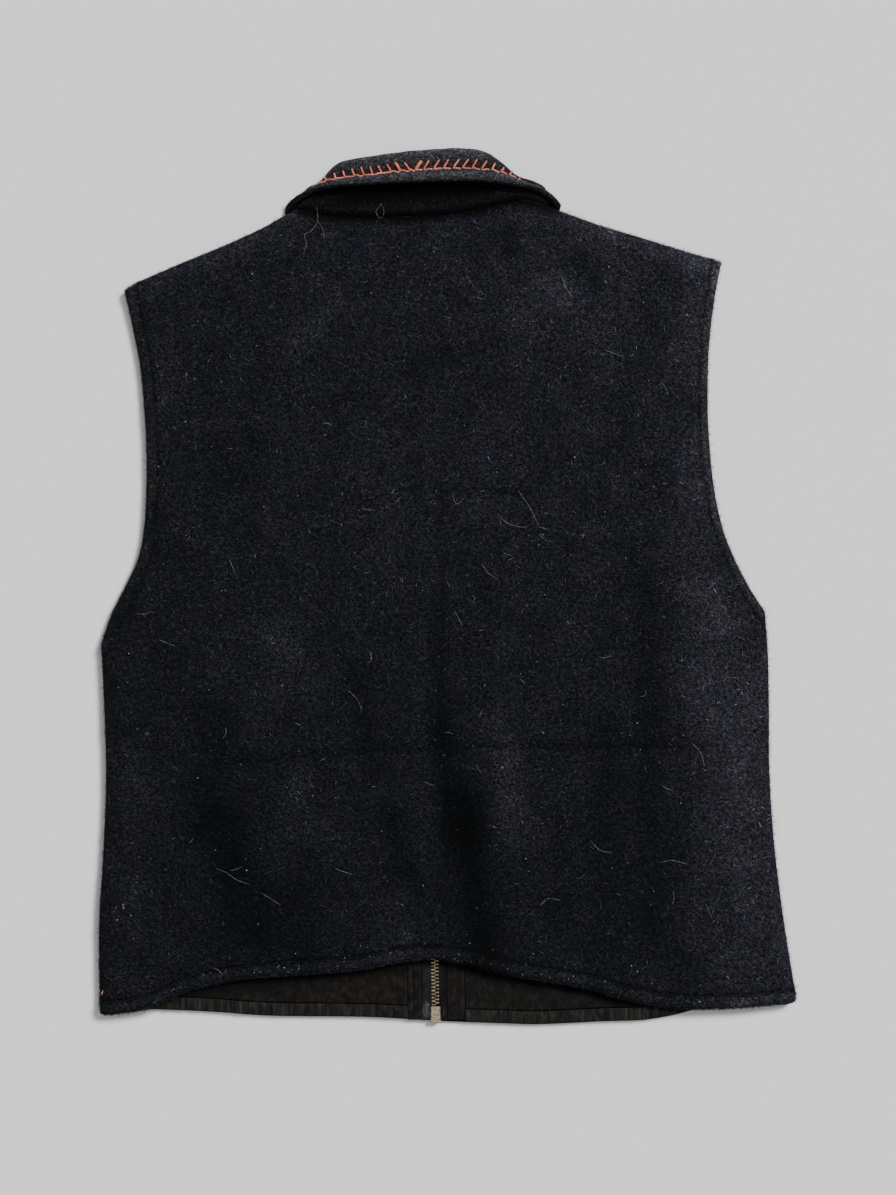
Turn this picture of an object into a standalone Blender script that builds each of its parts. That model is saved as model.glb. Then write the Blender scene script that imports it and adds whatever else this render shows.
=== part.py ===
"""A sleeveless wool vest with a zip front, lying flat on its front with the back upwards."""
import math

import bmesh
import bpy
from mathutils import Vector
from mathutils.bvhtree import BVHTree

# Driving dimensions, in millimetres. X runs to the photo's right, Y up the photo, Z up from the floor.
WOOL = 3.0
LINING = 1.0
TAPE = 0.8
SEAM_GAP = 0.3
ROUND = 0.8
LINING_LOW = WOOL + SEAM_GAP
REST = LINING_LOW + LINING + SEAM_GAP
SIDE_LOW = WOOL + SEAM_GAP
ARMHOLE_LOW = 2.4
EDGE_ROLL = 16.0
COLLAR_LIFT = 4.4
FRONT_ARMHOLE_INSET = 9.0
FRONT_SIDE_INSET = 1.2
NECK_X, NECK_Y = -19.5, 312.6
NECK_HALF_WIDTH, NECK_DEPTH = 105.5, 76.5
ZIP_FOOT_X, ZIP_FOOT_Y = -9.9, -361.0
ZIP_HEAD_X, ZIP_HEAD_Y = -19.5, 236.0
ZIP_CHANNEL = 5.0
BOX_HALF_WIDTH, BOX_LOW_Y, BOX_HIGH_Y = 3.95, -361.6, -347.9
FACING_LEFT_WIDTH, FACING_RIGHT_WIDTH = 11.6, 14.5
TAPE_LEFT_WIDTH, TAPE_RIGHT_WIDTH = 11.0, 9.6
HEM_BAND = 10.0
SHIFT_X = -0.36

# Outline of the back piece: x, y along each edge
SIDE_LEFT = [(-288.4, -354.0), (-289.3, -284.0), (-285.9, -222.0), (-283.5, -160.0), (-285.1, -97.5),
             (-287.6, -47.7)]
ARM_LEFT = [(-287.6, -47.7), (-279.3, -22.8), (-266.8, 2.1), (-256.0, 27.0), (-250.8, 64.0), (-250.3, 120.0),
            (-254.4, 176.4), (-261.0, 213.7), (-268.5, 246.9)]
SHOULDER_LEFT = [(-268.5, 246.9), (-255.2, 254.4), (-222.0, 268.5), (-188.8, 281.8), (-155.6, 296.7),
                 (-139.0, 305.9), (-125.0, 312.6)]
NECK_BACK = [(-125.0, 312.6), (-94.2, 307.5), (-64.3, 307.1), (-29.5, 306.7), (2.1, 310.0), (26.1, 314.2),
             (59.3, 320.4), (86.0, 314.0)]
SHOULDER_RIGHT = [(86.0, 314.0), (99.0, 309.8), (126.6, 300.0), (159.8, 290.1), (193.0, 280.1), (225.3, 268.5)]
ARM_RIGHT = [(263.5, -20.3), (249.4, 2.1), (237.0, 27.0), (227.8, 51.9), (220.4, 89.2), (216.2, 145.0),
             (216.6, 200.0), (220.4, 238.6), (225.3, 268.5)]
SIDE_RIGHT = [(290.1, -343.4), (284.3, -309.2), (276.8, -259.4), (270.5, -205.0), (267.2, -150.0), (266.9, -97.5),
              (266.0, -55.0), (263.5, -20.3)]
HEM_BACK = [(-288.4, -354.0), (-241.1, -348.2), (-209.6, -333.2), (-173.1, -325.8), (-141.5, -322.5),
            (-99.2, -320.0), (-67.6, -316.6), (-40.3, -310.8), (-10.4, -308.3), (20.3, -314.2), (41.9, -320.0),
            (79.3, -326.6), (118.3, -333.2), (146.5, -342.4), (194.6, -350.7), (242.8, -349.0), (290.1, -343.4)]
# Hems of the two front pieces, side seam to zip
HEM_LEFT = [(-286.5, -349.5), (-255.2, -350.5), (-222.0, -351.5), (-188.8, -353.2), (-155.6, -355.7),
            (-122.4, -356.5), (-89.2, -356.7), (-56.0, -357.5), (-14.9, -360.0)]
HEM_RIGHT = [(288.0, -339.5), (242.8, -346.2), (209.6, -348.6), (193.0, -352.6), (176.4, -356.8), (159.8, -359.6),
             (126.6, -360.8), (76.8, -363.1), (43.6, -362.3), (-4.9, -360.6)]

# Largest folds of the back: start x, y, end x, y, half width, height (minus is a trough)
FOLDS = [
    ("centre valley", 6, 110, 12, -300, 17, -1.5),
    ("swell left of centre", -38, 60, -42, -290, 34, 0.9),
    ("swell right of centre", 62, 30, 66, -260, 36, 0.8),
    ("left trough", -150, -60, -168, -300, 30, -0.9),
    ("left swell", -215, 60, -225, -280, 34, 0.8),
    ("right trough", 150, 40, 158, -290, 32, -0.8),
    ("right swell", 212, 90, 226, -280, 28, 0.9),
    ("pressed crease left", -214, -149, -6, -131, 9, -1.3),
    ("pressed crease right", -6, -131, 226, -132, 9, -1.3),
    ("upper crease", -64, 81, 93, 78, 10, -0.9),
    ("neck fold one", 60, 288, 132, 215, 15, 1.0),
    ("neck fold two", 30, 285, 60, 196, 15, 0.8),
    ("left shoulder swell", -190, 240, -120, 120, 34, 0.7),
    ("hem lift", -190, -330, 160, -335, 34, 1.6),
]

# Collar round the back of the neck: seam x, y, z, middle of the fold x, y, z, its radius, fall's edge x, y, z
# and the turn from facing up (0) to facing the floor (180)
COLLAR_BACK = [
    (-123.2, 309.5, 6.1, -113.5, 323.5, 4.7, 2.2, -128.0, 312.8, 1.95, -158),
    (-122.6, 314.4, 7.6, -113.8, 328.0, 7.6, 2.9, -128.4, 317.6, 4.8, -90),
    (-112.0, 311.9, 9.6, -103.5, 332.0, 11.0, 3.3, -115.5, 325.0, 11.5, -58),
    (-94.0, 308.6, 10.5, -88.0, 344.0, 12.5, 3.5, -100.0, 331.0, 15.5, -30),
    (-62.0, 308.1, 10.8, -57.0, 352.6, 13.2, 3.6, -62.0, 333.2, 18.6, -8),
    (-6.0, 310.1, 10.8, -6.0, 357.6, 13.5, 3.6, -6.0, 336.3, 19.2, 0),
    (27.0, 315.4, 10.8, 30.0, 355.4, 13.4, 3.6, 31.0, 336.3, 18.6, 8),
    (59.5, 321.6, 10.5, 56.0, 336.8, 12.6, 3.4, 66.0, 331.0, 15.5, 38),
    (73.0, 319.6, 9.4, 67.5, 331.0, 11.0, 3.2, 78.5, 325.5, 11.5, 62),
    (82.8, 316.0, 7.6, 75.3, 327.2, 7.6, 2.9, 88.8, 317.4, 4.8, 90),
    (84.2, 310.5, 6.1, 74.5, 323.5, 4.7, 2.2, 89.0, 312.8, 1.95, 158),
]
COLLAR_END_ANGLE = 85.0

COLLECTION = "vest"

for leftover in list(bpy.data.objects):
    bpy.data.objects.remove(leftover, do_unlink=True)
collection = bpy.data.collections.new(COLLECTION)
bpy.context.scene.collection.children.link(collection)


def paint(name, colour, rough, metal=0.0):
    """One Principled material."""
    material = bpy.data.materials.new(name)
    material.use_nodes = True
    shader = material.node_tree.nodes["Principled BSDF"]
    shader.inputs["Base Color"].default_value = (*colour, 1.0)
    shader.inputs["Roughness"].default_value = rough
    shader.inputs["Metallic"].default_value = metal
    material.diffuse_color = (*colour, 1.0)
    return material


def add(name, verts, faces, material):
    """A named solid from points in millimetres."""
    mesh = bpy.data.meshes.new(name)
    mesh.from_pydata([((x + SHIFT_X) * 0.001, y * 0.001, z * 0.001) for x, y, z in verts], [], faces)
    build = bmesh.new()
    build.from_mesh(mesh)
    bmesh.ops.recalc_face_normals(build, faces=build.faces)
    build.to_mesh(mesh)
    build.free()
    mesh.materials.append(material)
    thing = bpy.data.objects.new(name, mesh)
    collection.objects.link(thing)
    return thing


def smooth(t):
    t = min(1.0, max(0.0, t))
    return t * t * (3.0 - 2.0 * t)


def mix(a, b, t):
    return a + (b - a) * t


def spline(rows, position):
    """Value of every column at a position along a table's rows."""
    last = len(rows) - 1
    i = min(int(position), last - 1)
    t = position - i
    before, start, end, after = (rows[min(max(k, 0), last)] for k in (i - 1, i, i + 1, i + 2))
    out = []
    for a, b, c, d in zip(before, start, end, after):
        out.append(0.5 * (2 * b + (c - a) * t + (2 * a - 5 * b + 4 * c - d) * t * t
                          + (3 * b - a - 3 * c + d) * t ** 3))
    return out


class Line:
    """A smooth curve through a short row of points, read by its share of the length."""

    def __init__(self, points):
        steps = (len(points) - 1) * 12
        self.points = [Vector(spline(points, k / 12.0)) for k in range(steps + 1)]
        self.lengths = [0.0]
        for a, b in zip(self.points, self.points[1:]):
            self.lengths.append(self.lengths[-1] + (b - a).length)

    def at(self, share):
        want = min(1.0, max(0.0, share)) * self.lengths[-1]
        for k in range(1, len(self.lengths)):
            if self.lengths[k] >= want:
                span = self.lengths[k] - self.lengths[k - 1]
                return self.points[k - 1].lerp(self.points[k], (want - self.lengths[k - 1]) / max(span, 1e-9))
        return self.points[-1].copy()

    def distance(self, x, y):
        return min(math.hypot(p.x - x, p.y - y) for p in self.points)


def chain(parts):
    """Several lines end to end, each with its share of the run from 0 to 1."""
    def at(t):
        start = 0.0
        for line, share in parts:
            if t <= start + share + 1e-9:
                return line.at((t - start) / share)
            start += share
        return parts[-1][0].at(1.0)
    return at


def patch(bottom, top, left, right):
    """A surface filled in between four edges."""
    def at(u, v):
        along = bottom(u) * (1 - v) + top(u) * v
        across = left(v) * (1 - u) + right(v) * u
        corners = (bottom(0) * (1 - u) * (1 - v) + bottom(1) * u * (1 - v)
                   + top(0) * (1 - u) * v + top(1) * u * v)
        return along + across - corners
    return at


def steps(parts):
    """Positions from 0 to 1: each part has its share and its number of steps, finer at the open ends."""
    out = [0.0]
    start = 0.0
    for share, count, fine_start, fine_end in parts:
        marks = [k / count for k in range(1, count + 1)]
        if fine_start:
            marks = [marks[0] * 0.22, marks[0] * 0.55] + marks
        if fine_end:
            marks = marks[:-1] + [1 - 0.55 / count, 1 - 0.22 / count, 1.0]
        out += [start + share * m for m in marks]
        start += share
    return out


def wall(name, grid, low, thick, material):
    """A closed sheet of cloth: a grid of x, y points with the height of its underside and its thickness."""
    rows, cols = len(grid), len(grid[0])
    verts, faces = [], []
    edge = [(0, j) for j in range(cols)] + [(i, cols - 1) for i in range(1, rows)]
    edge += [(rows - 1, j) for j in range(cols - 2, -1, -1)] + [(i, 0) for i in range(rows - 2, 0, -1)]
    edge_set = set(edge)
    for side in (0, 1):
        for i in range(rows):
            for j in range(cols):
                p = grid[i][j]
                if (i, j) in edge_set:
                    inner = grid[min(max(i, 1), rows - 2)][min(max(j, 1), cols - 2)]
                    away = (inner - p).normalized()
                    p = p + away * min(ROUND * (1.4 if i in (0, rows - 1) and j in (0, cols - 1) else 1.0),
                                       0.4 * (inner - p).length)
                verts.append((p.x, p.y, low[i][j] + side * thick[i][j]))
    size = rows * cols
    for i in range(rows - 1):
        for j in range(cols - 1):
            a = i * cols + j
            faces.append((a, a + cols, a + cols + 1, a + 1))
            faces.append((size + a, size + a + 1, size + a + cols + 1, size + a + cols))
    first = len(verts)
    for i, j in edge:
        p = grid[i][j]
        verts.append((p.x, p.y, low[i][j] + 0.5 * thick[i][j]))
    for k, (i, j) in enumerate(edge):
        n = (k + 1) % len(edge)
        a, b = i * cols + j, edge[n][0] * cols + edge[n][1]
        faces.append((a, b, first + n, first + k))
        faces.append((size + a, first + k, first + n, size + b))
    return add(name, verts, faces, material)


def loft(name, rings, material):
    """A closed solid through rings of equal count, with flat ends."""
    count = len(rings[0])
    verts = [p for ring in rings for p in ring]
    faces = []
    for r in range(len(rings) - 1):
        for k in range(count):
            n = (k + 1) % count
            a = r * count
            faces.append((a + k, a + n, a + count + n, a + count + k))
    faces.append(tuple(range(count)))
    faces.append(tuple((len(rings) - 1) * count + k for k in range(count)))
    return add(name, verts, faces, material)


wool = paint("black wool", (0.0105, 0.012, 0.0155), 0.95)
cotton = paint("grey brown cotton", (0.017, 0.0145, 0.0135), 0.9)
tape_paint = paint("dark zip tape", (0.012, 0.011, 0.012), 0.9)
brass = paint("worn brass", (0.42, 0.34, 0.22), 0.38, 0.9)

side_left, side_right = Line(SIDE_LEFT), Line(SIDE_RIGHT)
arm_left, arm_right = Line(ARM_LEFT), Line(ARM_RIGHT)
shoulder_left, shoulder_right = Line(SHOULDER_LEFT), Line(SHOULDER_RIGHT)
neck_back, hem_back = Line(NECK_BACK), Line(HEM_BACK)


def neck_lift(x, y):
    """How far the cloth near the neck is held up by the collar under it."""
    reach = math.hypot((x - NECK_X) / 113.0, (y - NECK_Y) / 77.0)
    return COLLAR_LIFT * (1 - smooth((reach - 1.36) / 1.1))


def fold_height(x, y):
    """Height of the folds at a point."""
    total = 0.0
    for _, x0, y0, x1, y1, width, height in FOLDS:
        run = Vector((x1 - x0, y1 - y0))
        t = ((x - x0) * run.x + (y - y0) * run.y) / run.length_squared
        inside = min(1.0, max(0.0, t))
        off = math.hypot(x - x0 - run.x * inside, y - y0 - run.y * inside)
        fade = smooth(inside / 0.18) * smooth((1 - inside) / 0.18)
        total += height * fade * math.exp(-(off / width) ** 2)
    return total


def back_low(x, y):
    """Height of the back's underside: down on the front at its edges, loose over the lining inside them."""
    seam = min(side_left.distance(x, y), side_right.distance(x, y),
               shoulder_left.distance(x, y), shoulder_right.distance(x, y))
    arm = min(arm_left.distance(x, y), arm_right.distance(x, y))
    edge = mix(SIDE_LOW, ARMHOLE_LOW, smooth((seam - arm) / 20.0))
    roll = math.sin(min(1.0, min(seam, arm) / EDGE_ROLL) * math.pi / 2)
    throat = 1.4 * (1 - smooth(math.hypot(x - NECK_X, y - 232.0) / 80.0))
    loose = 1.6 + fold_height(x, y) + throat
    nearly = smooth(min(seam, arm) / 45.0)
    inside = REST + max(0.25, mix(0.35, loose, nearly))
    return mix(edge, inside, roll) + neck_lift(x, y) * 1.06


# The back piece
shoulders = chain([(shoulder_left, 0.27), (neck_back, 0.40), (Line(SHOULDER_RIGHT), 0.33)])
back_patch = patch(hem_back.at, shoulders, chain([(side_left, 0.5), (arm_left, 0.5)]),
                   chain([(side_right, 0.5), (arm_right, 0.5)]))
across = steps([(0.27, 8, True, False), (0.40, 12, False, False), (0.33, 10, False, True)])
along = steps([(0.5, 16, True, False), (0.5, 16, False, True)])
grid = [[back_patch(u, v) for u in across] for v in along]
low = [[back_low(p.x, p.y) for p in row] for row in grid]
thick = [[WOOL + 0.7 * (1 - smooth((hem_back.distance(p.x, p.y) - 8.0) / 6.0)) for p in row] for row in grid]
wall("back", grid, low, thick, wool)


def zip_x(y):
    return mix(ZIP_FOOT_X, ZIP_HEAD_X, (y - ZIP_FOOT_Y) / (ZIP_HEAD_Y - ZIP_FOOT_Y))


def neckline(turn):
    """Front neckline: 0 at the left shoulder, 90 at the zip, 180 at the right shoulder."""
    a = math.radians(turn)
    return Vector((NECK_X - NECK_HALF_WIDTH * math.cos(a), NECK_Y - NECK_DEPTH * math.sin(a)))


def moved_in(points, amount, centre):
    """A row of edge points moved towards the middle of the piece."""
    out = []
    for x, y in points:
        out.append((x + amount * (1 if x < centre else -1), y))
    return out


def front_patch(left):
    """Surface of one front piece, from side seam (u 0) to zip (u 1) and hem (v 0) to neck (v 1)."""
    side = 1 if left else -1
    edge = moved_in(SIDE_LEFT if left else SIDE_RIGHT, FRONT_SIDE_INSET, 0)
    edge[0] = HEM_LEFT[0] if left else HEM_RIGHT[0]
    arm = []
    source = ARM_LEFT if left else ARM_RIGHT
    for k, (x, y) in enumerate(source):
        share = k / (len(source) - 1)
        deep = mix(FRONT_SIDE_INSET, FRONT_ARMHOLE_INSET, smooth(share / 0.25) * smooth((1 - share) / 0.2))
        arm.append((x + side * deep, y - (0.8 if k == len(source) - 1 else 0.0)))
    edge[-1] = arm[0]
    shoulder = [(x + (1.2 if k == 0 else 0.0) * side, y - 0.8)
                for k, (x, y) in enumerate(SHOULDER_LEFT if left else reversed(SHOULDER_RIGHT))]
    if left:
        turns = [8 + 78 * k / 8 for k in range(9)]
    else:
        turns = [172 - 78 * k / 8 for k in range(9)]
    neck = [shoulder[-1]] + [tuple(neckline(t)) for t in turns]
    top_x = zip_x(ZIP_HEAD_Y) - side * ZIP_CHANNEL
    neck.append((top_x, NECK_Y - NECK_DEPTH))
    foot = (HEM_LEFT if left else HEM_RIGHT)[-1]
    centre = [foot, ((foot[0] + top_x) / 2, (foot[1] + ZIP_HEAD_Y) / 2), neck[-1]]
    top = chain([(Line(shoulder), 0.4), (Line(neck), 0.6)])
    return patch(Line(HEM_LEFT if left else HEM_RIGHT).at, top, chain([(Line(edge), 0.5), (Line(arm), 0.5)]),
                 Line(centre).at)


def inset(area, low_u, high_u, low_v, high_v, across, along):
    """Grid inside a piece, a number of millimetres from each of its edges."""
    out = []
    for v in along:
        row = []
        for u in across:
            wide = (area(1, v) - area(0, v)).length
            tall = (area(u, 1) - area(u, 0)).length
            uu = mix(low_u / wide, 1 - high_u / wide, u)
            vv = mix(low_v / tall, 1 - high_v / tall, v)
            row.append(area(uu, vv))
        out.append(row)
    return out


def meet(grid, side, gap):
    """The grid with its inner edge brought to a distance from the zip's line."""
    for row in grid:
        first, last = row[0].x, row[-1].x
        move = zip_x(row[-1].y) + side * gap - last
        for p in row:
            p.x += move * smooth((p.x - first) / (last - first))
    return grid


def even(count):
    return [k / count for k in range(count + 1)]


def lay(name, grid, above, thickness, material):
    """A sheet lying on the fronts, at a height above their underside."""
    low = [[above + neck_lift(p.x, p.y) for p in row] for row in grid]
    return wall(name, grid, low, [[thickness] * len(grid[0])] * len(grid), material)


def lay_on(name, below, grid, thickness, material):
    """A sheet lying on another piece, its points moved out from that piece's upper face."""
    mesh = below.data
    tree = BVHTree.FromPolygons([v.co * 1000 - Vector((SHIFT_X, 0, 0)) for v in mesh.vertices],
                                [tuple(f.vertices) for f in mesh.polygons])
    low = []
    for row in grid:
        low.append([tree.ray_cast(Vector((p.x, p.y, 60.0)), Vector((0, 0, -1)))[0].z + SEAM_GAP + 0.06 for p in row])
    return wall(name, grid, low, [[thickness] * len(grid[0])] * len(grid), material)


for left in (True, False):
    word = "left" if left else "right"
    side = -1 if left else 1
    area = front_patch(left)
    across = steps([(0.4, 5, True, False), (0.6, 9, False, False)])
    along = steps([(0.5, 11, True, False), (0.5, 11, False, True)])
    front = lay("front_" + word, [[area(u, v) for u in across] for v in along], 0.0, WOOL, wool)
    tape_width = TAPE_LEFT_WIDTH if left else TAPE_RIGHT_WIDTH
    facing_width = FACING_LEFT_WIDTH if left else FACING_RIGHT_WIDTH
    facing_edge = tape_width + SEAM_GAP + facing_width + SEAM_GAP
    inside = inset(area, 8, facing_edge - ZIP_CHANNEL, HEM_BAND + 1.4, 8, even(13), even(24))
    lay_on("lining_" + word, front, meet(inside, side, facing_edge), LINING, cotton)
    foot = Line(HEM_LEFT if left else HEM_RIGHT)
    band = []
    for rise in (1.0, 3.5, 7.5, HEM_BAND + 1.0):
        row = []
        for k in range(25):
            p = foot.at(k / 24)
            inner = zip_x(p.y) + side * facing_edge
            outer = foot.at(0).x - side * 8
            x = mix(outer, inner, k / 24)
            near = min((foot.at(s / 200) for s in range(201)), key=lambda q: abs(q.x - x))
            row.append(Vector((x, near.y + rise)))
        band.append(row)
    lay("hem_band_" + word, band, LINING_LOW, LINING + 0.2, cotton)
    heights = [-359.0, -340.0, -240.0, -140.0, -40.0] + [40.0 + 18.8 * k for k in range(11)]
    strip = [[Vector((zip_x(y) + side * (tape_width + SEAM_GAP + facing_width * w), y)) for w in (0, 0.5, 1)]
             for y in heights]
    lay("facing_" + word, strip, LINING_LOW, LINING, cotton)
    notch = BOX_HALF_WIDTH + SEAM_GAP
    rows = [(-359.5, notch), (-353.0, notch), (BOX_HIGH_Y + 0.2, notch), (BOX_HIGH_Y + 0.6, 0.2)]
    rows += [(y, 0.2) for y in (-320.0, -230.0, -140.0, -50.0)] + [(40.0 + 18.96 * k, 0.2) for k in range(11)]
    tape = [[Vector((zip_x(y) + side * mix(start, tape_width, w), y)) for w in (0, 0.5, 1)] for y, start in rows]
    lay("zip_tape_" + word, tape, LINING_LOW, TAPE, tape_paint)

# The collar: a stand, a fold and a fall in one piece, round the neck from one front end to the other


def collar_front(turn):
    """Row of the collar's table for the front half, where the fall lies under the front pieces."""
    a = math.radians(turn)
    c, s = math.cos(a), math.sin(a)
    side = 1 if turn > 90 else -1
    return (NECK_X - (NECK_HALF_WIDTH - 1.6) * c, NECK_Y - (NECK_DEPTH - 1.3) * s, 5.9,
            NECK_X - 94.5 * c, 327.0 - 55.0 * s, 3.9, 2.0,
            NECK_X - 108.0 * c, 315.0 - 101.0 * s, 1.95, side * 180)


front_turns = [COLLAR_END_ANGLE, 64, 44, 26, 13]
table = [collar_front(t) for t in front_turns]
table += COLLAR_BACK
table += [collar_front(180 - t) for t in reversed(front_turns)]

STAND_HALF, FALL_HALF, EDGE_HALF = 1.5, 1.6, 2.3


def collar_section(row):
    """Outline of the collar across its seam, fold and fall."""
    seam, fold, edge = Vector(row[0:3]), Vector(row[3:6]), Vector(row[7:10])
    radius, turn = row[6], math.radians(row[10])
    out = Vector((math.sin(turn), 0, math.cos(turn)))
    up = fold - seam
    up = (up - out * up.dot(out)).normalized()
    inner, outer = fold - out * radius, fold + out * radius
    middle = [(seam, STAND_HALF), (seam.lerp(inner, 0.35), STAND_HALF), (seam.lerp(inner, 0.7), STAND_HALF)]
    for k in range(5):
        a = math.pi * k / 4
        middle.append((fold - out * radius * math.cos(a) + up * radius * math.sin(a),
                       mix(STAND_HALF, FALL_HALF, k / 4)))
    thin = mix(1.65, EDGE_HALF, smooth((edge.z - 2.0) / 6.0))
    middle += [(outer.lerp(edge, 0.4), FALL_HALF), (outer.lerp(edge, 0.75), mix(FALL_HALF, thin, 0.6)),
               (edge, thin)]
    normals = []
    for k in range(len(middle)):
        a = middle[max(k - 1, 0)][0]
        b = middle[min(k + 1, len(middle) - 1)][0]
        along = (b - a).normalized()
        across = out * along.dot(up) - up * along.dot(out)
        across = across - along * across.dot(along)
        normals.append(across.normalized())
    one = [p - n * h for (p, h), n in zip(middle, normals)]
    two = [p + n * h for (p, h), n in zip(middle, normals)]
    tip = (middle[-1][0] - middle[-2][0]).normalized()
    end = [middle[-1][0] - normals[-1] * thin * 0.6 + tip * thin * 0.8, middle[-1][0] + tip * thin,
           middle[-1][0] + normals[-1] * thin * 0.6 + tip * thin * 0.8]
    return one + end + list(reversed(two))


per_row = 3
rings = []
for k in range((len(table) - 1) * per_row + 1):
    rings.append(collar_section(spline(table, k / per_row)))
loft("collar", rings, wool)

# Zip box at the hem
box_x = zip_x(-354.0)
rings = []
for y, shrink in ((BOX_LOW_Y, 0.7), (BOX_LOW_Y + 0.7, 0.0), (BOX_HIGH_Y - 0.5, 0.0), (BOX_HIGH_Y, 0.5)):
    w, h = BOX_HALF_WIDTH - shrink, 1.7 - shrink * 0.7
    ring = []
    for sx, sz, cut in ((1, -1, 0), (1, 1, 1), (-1, 1, 0), (-1, -1, 1)):
        first = (box_x + sx * (w - 0.6), y, 3.7 + sz * h)
        second = (box_x + sx * w, y, 3.7 + sz * (h - 0.5))
        ring += [first, second] if cut == 0 else [second, first]
    rings.append(ring)
loft("zip_box", rings, brass)

# Zip slider at the neck: two plates joined behind the last teeth, with a bail on the outer one
slider_x, slider_z = zip_x(227.0), COLLAR_LIFT
PIVOT_Y, PIVOT_Z = 227.5, slider_z + 0.85


def prism(name, profile, x, half, material):
    """A closed solid: a y, z profile run across X."""
    rings = [[(x - half, y, z) for y, z in profile], [(x + half, y, z) for y, z in profile]]
    return loft(name, rings, material)


def join(target, other, operation):
    """Union with, or cut by, a helper solid that is left out of the render."""
    helpers.objects.link(other)
    collection.objects.unlink(other)
    other.hide_render = True
    step = target.modifiers.new(other.name, "BOOLEAN")
    step.operation = operation
    step.solver = "EXACT"
    step.object = other


helpers = bpy.data.collections.new("cutters")
bpy.context.scene.collection.children.link(helpers)
under, over = slider_z + 1.7, slider_z + 5.7
plates = [(221.2, under), (233.0, under), (233.6, under + 0.6), (233.6, over - 0.6), (233.0, over),
          (221.2, over),
          (220.6, over - 0.4), (220.6, over - 0.8), (230.8, over - 0.8), (230.8, under + 0.8),
          (220.6, under + 0.8), (220.6, under + 0.4)]
slider = prism("zip_slider", plates, slider_x, 4.1, brass)
bail = [(223.0, under + 0.3), (223.0, under - 1.5), (223.9, under - 2.4), (231.1, under - 2.4), (232.0, under - 1.5),
        (232.0, under + 0.3), (231.2, under + 0.3), (231.2, under - 1.2), (230.7, under - 1.7),
        (224.3, under - 1.7), (223.8, under - 1.2), (223.8, under + 0.3)]
join(slider, prism("bail", bail, slider_x, 1.0, brass), "UNION")

# Pull tab: its crossbar lies in the bail and its tongue hangs along the zip, a little down
TAB_DROP = math.radians(8.5)
TAB_PLAN = [(0.45, 3.2), (-6.0, 3.2), (-9.0, 2.5), (-24.5, 3.4), (-27.0, 2.3), (-27.5, 1.2)]
rings = []
for out, half in TAB_PLAN:
    ring = []
    for sx, sz in ((-1, -1), (1, -1), (1, 1), (-1, 1)):
        along, height = out, 0.45 * sz
        y = PIVOT_Y + along * math.cos(TAB_DROP) - height * math.sin(TAB_DROP)
        z = PIVOT_Z + along * math.sin(TAB_DROP) + height * math.cos(TAB_DROP)
        ring.append((slider_x + sx * half, y, z))
    rings.append(ring)
tab = loft("zip_tab", rings, brass)
profile = []
for out, height in ((-0.45, -1.2), (-0.45, 1.2), (-5.0, 1.2), (-5.0, -1.2)):
    y = PIVOT_Y + out * math.cos(TAB_DROP) - height * math.sin(TAB_DROP)
    z = PIVOT_Z + out * math.sin(TAB_DROP) + height * math.cos(TAB_DROP)
    profile.append((y, z))
join(tab, prism("slot", profile, slider_x, 1.5, brass), "DIFFERENCE")
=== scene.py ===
import math

import bmesh
import bpy
import numpy as np
from mathutils import Matrix, Vector
from mathutils.bvhtree import BVHTree


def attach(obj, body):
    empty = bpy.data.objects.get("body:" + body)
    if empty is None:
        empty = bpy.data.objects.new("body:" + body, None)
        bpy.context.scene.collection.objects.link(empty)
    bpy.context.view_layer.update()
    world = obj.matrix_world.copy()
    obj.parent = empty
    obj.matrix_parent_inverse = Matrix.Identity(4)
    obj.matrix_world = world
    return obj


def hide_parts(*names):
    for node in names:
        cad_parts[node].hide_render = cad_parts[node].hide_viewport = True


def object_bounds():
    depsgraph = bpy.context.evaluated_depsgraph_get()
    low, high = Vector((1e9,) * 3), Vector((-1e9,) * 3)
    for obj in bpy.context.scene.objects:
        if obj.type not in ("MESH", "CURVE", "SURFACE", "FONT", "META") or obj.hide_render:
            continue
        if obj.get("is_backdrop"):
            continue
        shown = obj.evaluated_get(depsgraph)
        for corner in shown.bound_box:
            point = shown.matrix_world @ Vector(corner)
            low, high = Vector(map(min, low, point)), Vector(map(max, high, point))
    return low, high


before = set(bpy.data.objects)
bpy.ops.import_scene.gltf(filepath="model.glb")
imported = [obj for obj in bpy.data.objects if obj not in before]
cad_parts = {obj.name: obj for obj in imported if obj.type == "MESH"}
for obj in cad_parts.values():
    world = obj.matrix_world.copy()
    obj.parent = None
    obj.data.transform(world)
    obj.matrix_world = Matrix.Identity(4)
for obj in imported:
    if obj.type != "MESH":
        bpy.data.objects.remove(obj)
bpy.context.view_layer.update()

# Metres in a millimetre, and the points that a line gets in each span between two given points
MM, POINTS_PER_SPAN = 0.001, 12

# Sizes in millimetres, mostly the part's. Some edges lie a few millimetres off it, like the finished cloth.
WOOL, LINING, TAPE, SEAM_GAP, EDGE_ROUND = 3.0, 1.0, 0.8, 0.3, 0.8
LINING_LOW = WOOL + SEAM_GAP
REST = LINING_LOW + LINING + SEAM_GAP
SIDE_LOW, ARMHOLE_LOW, EDGE_ROLL = 3.3, 2.4, 16.0
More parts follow.
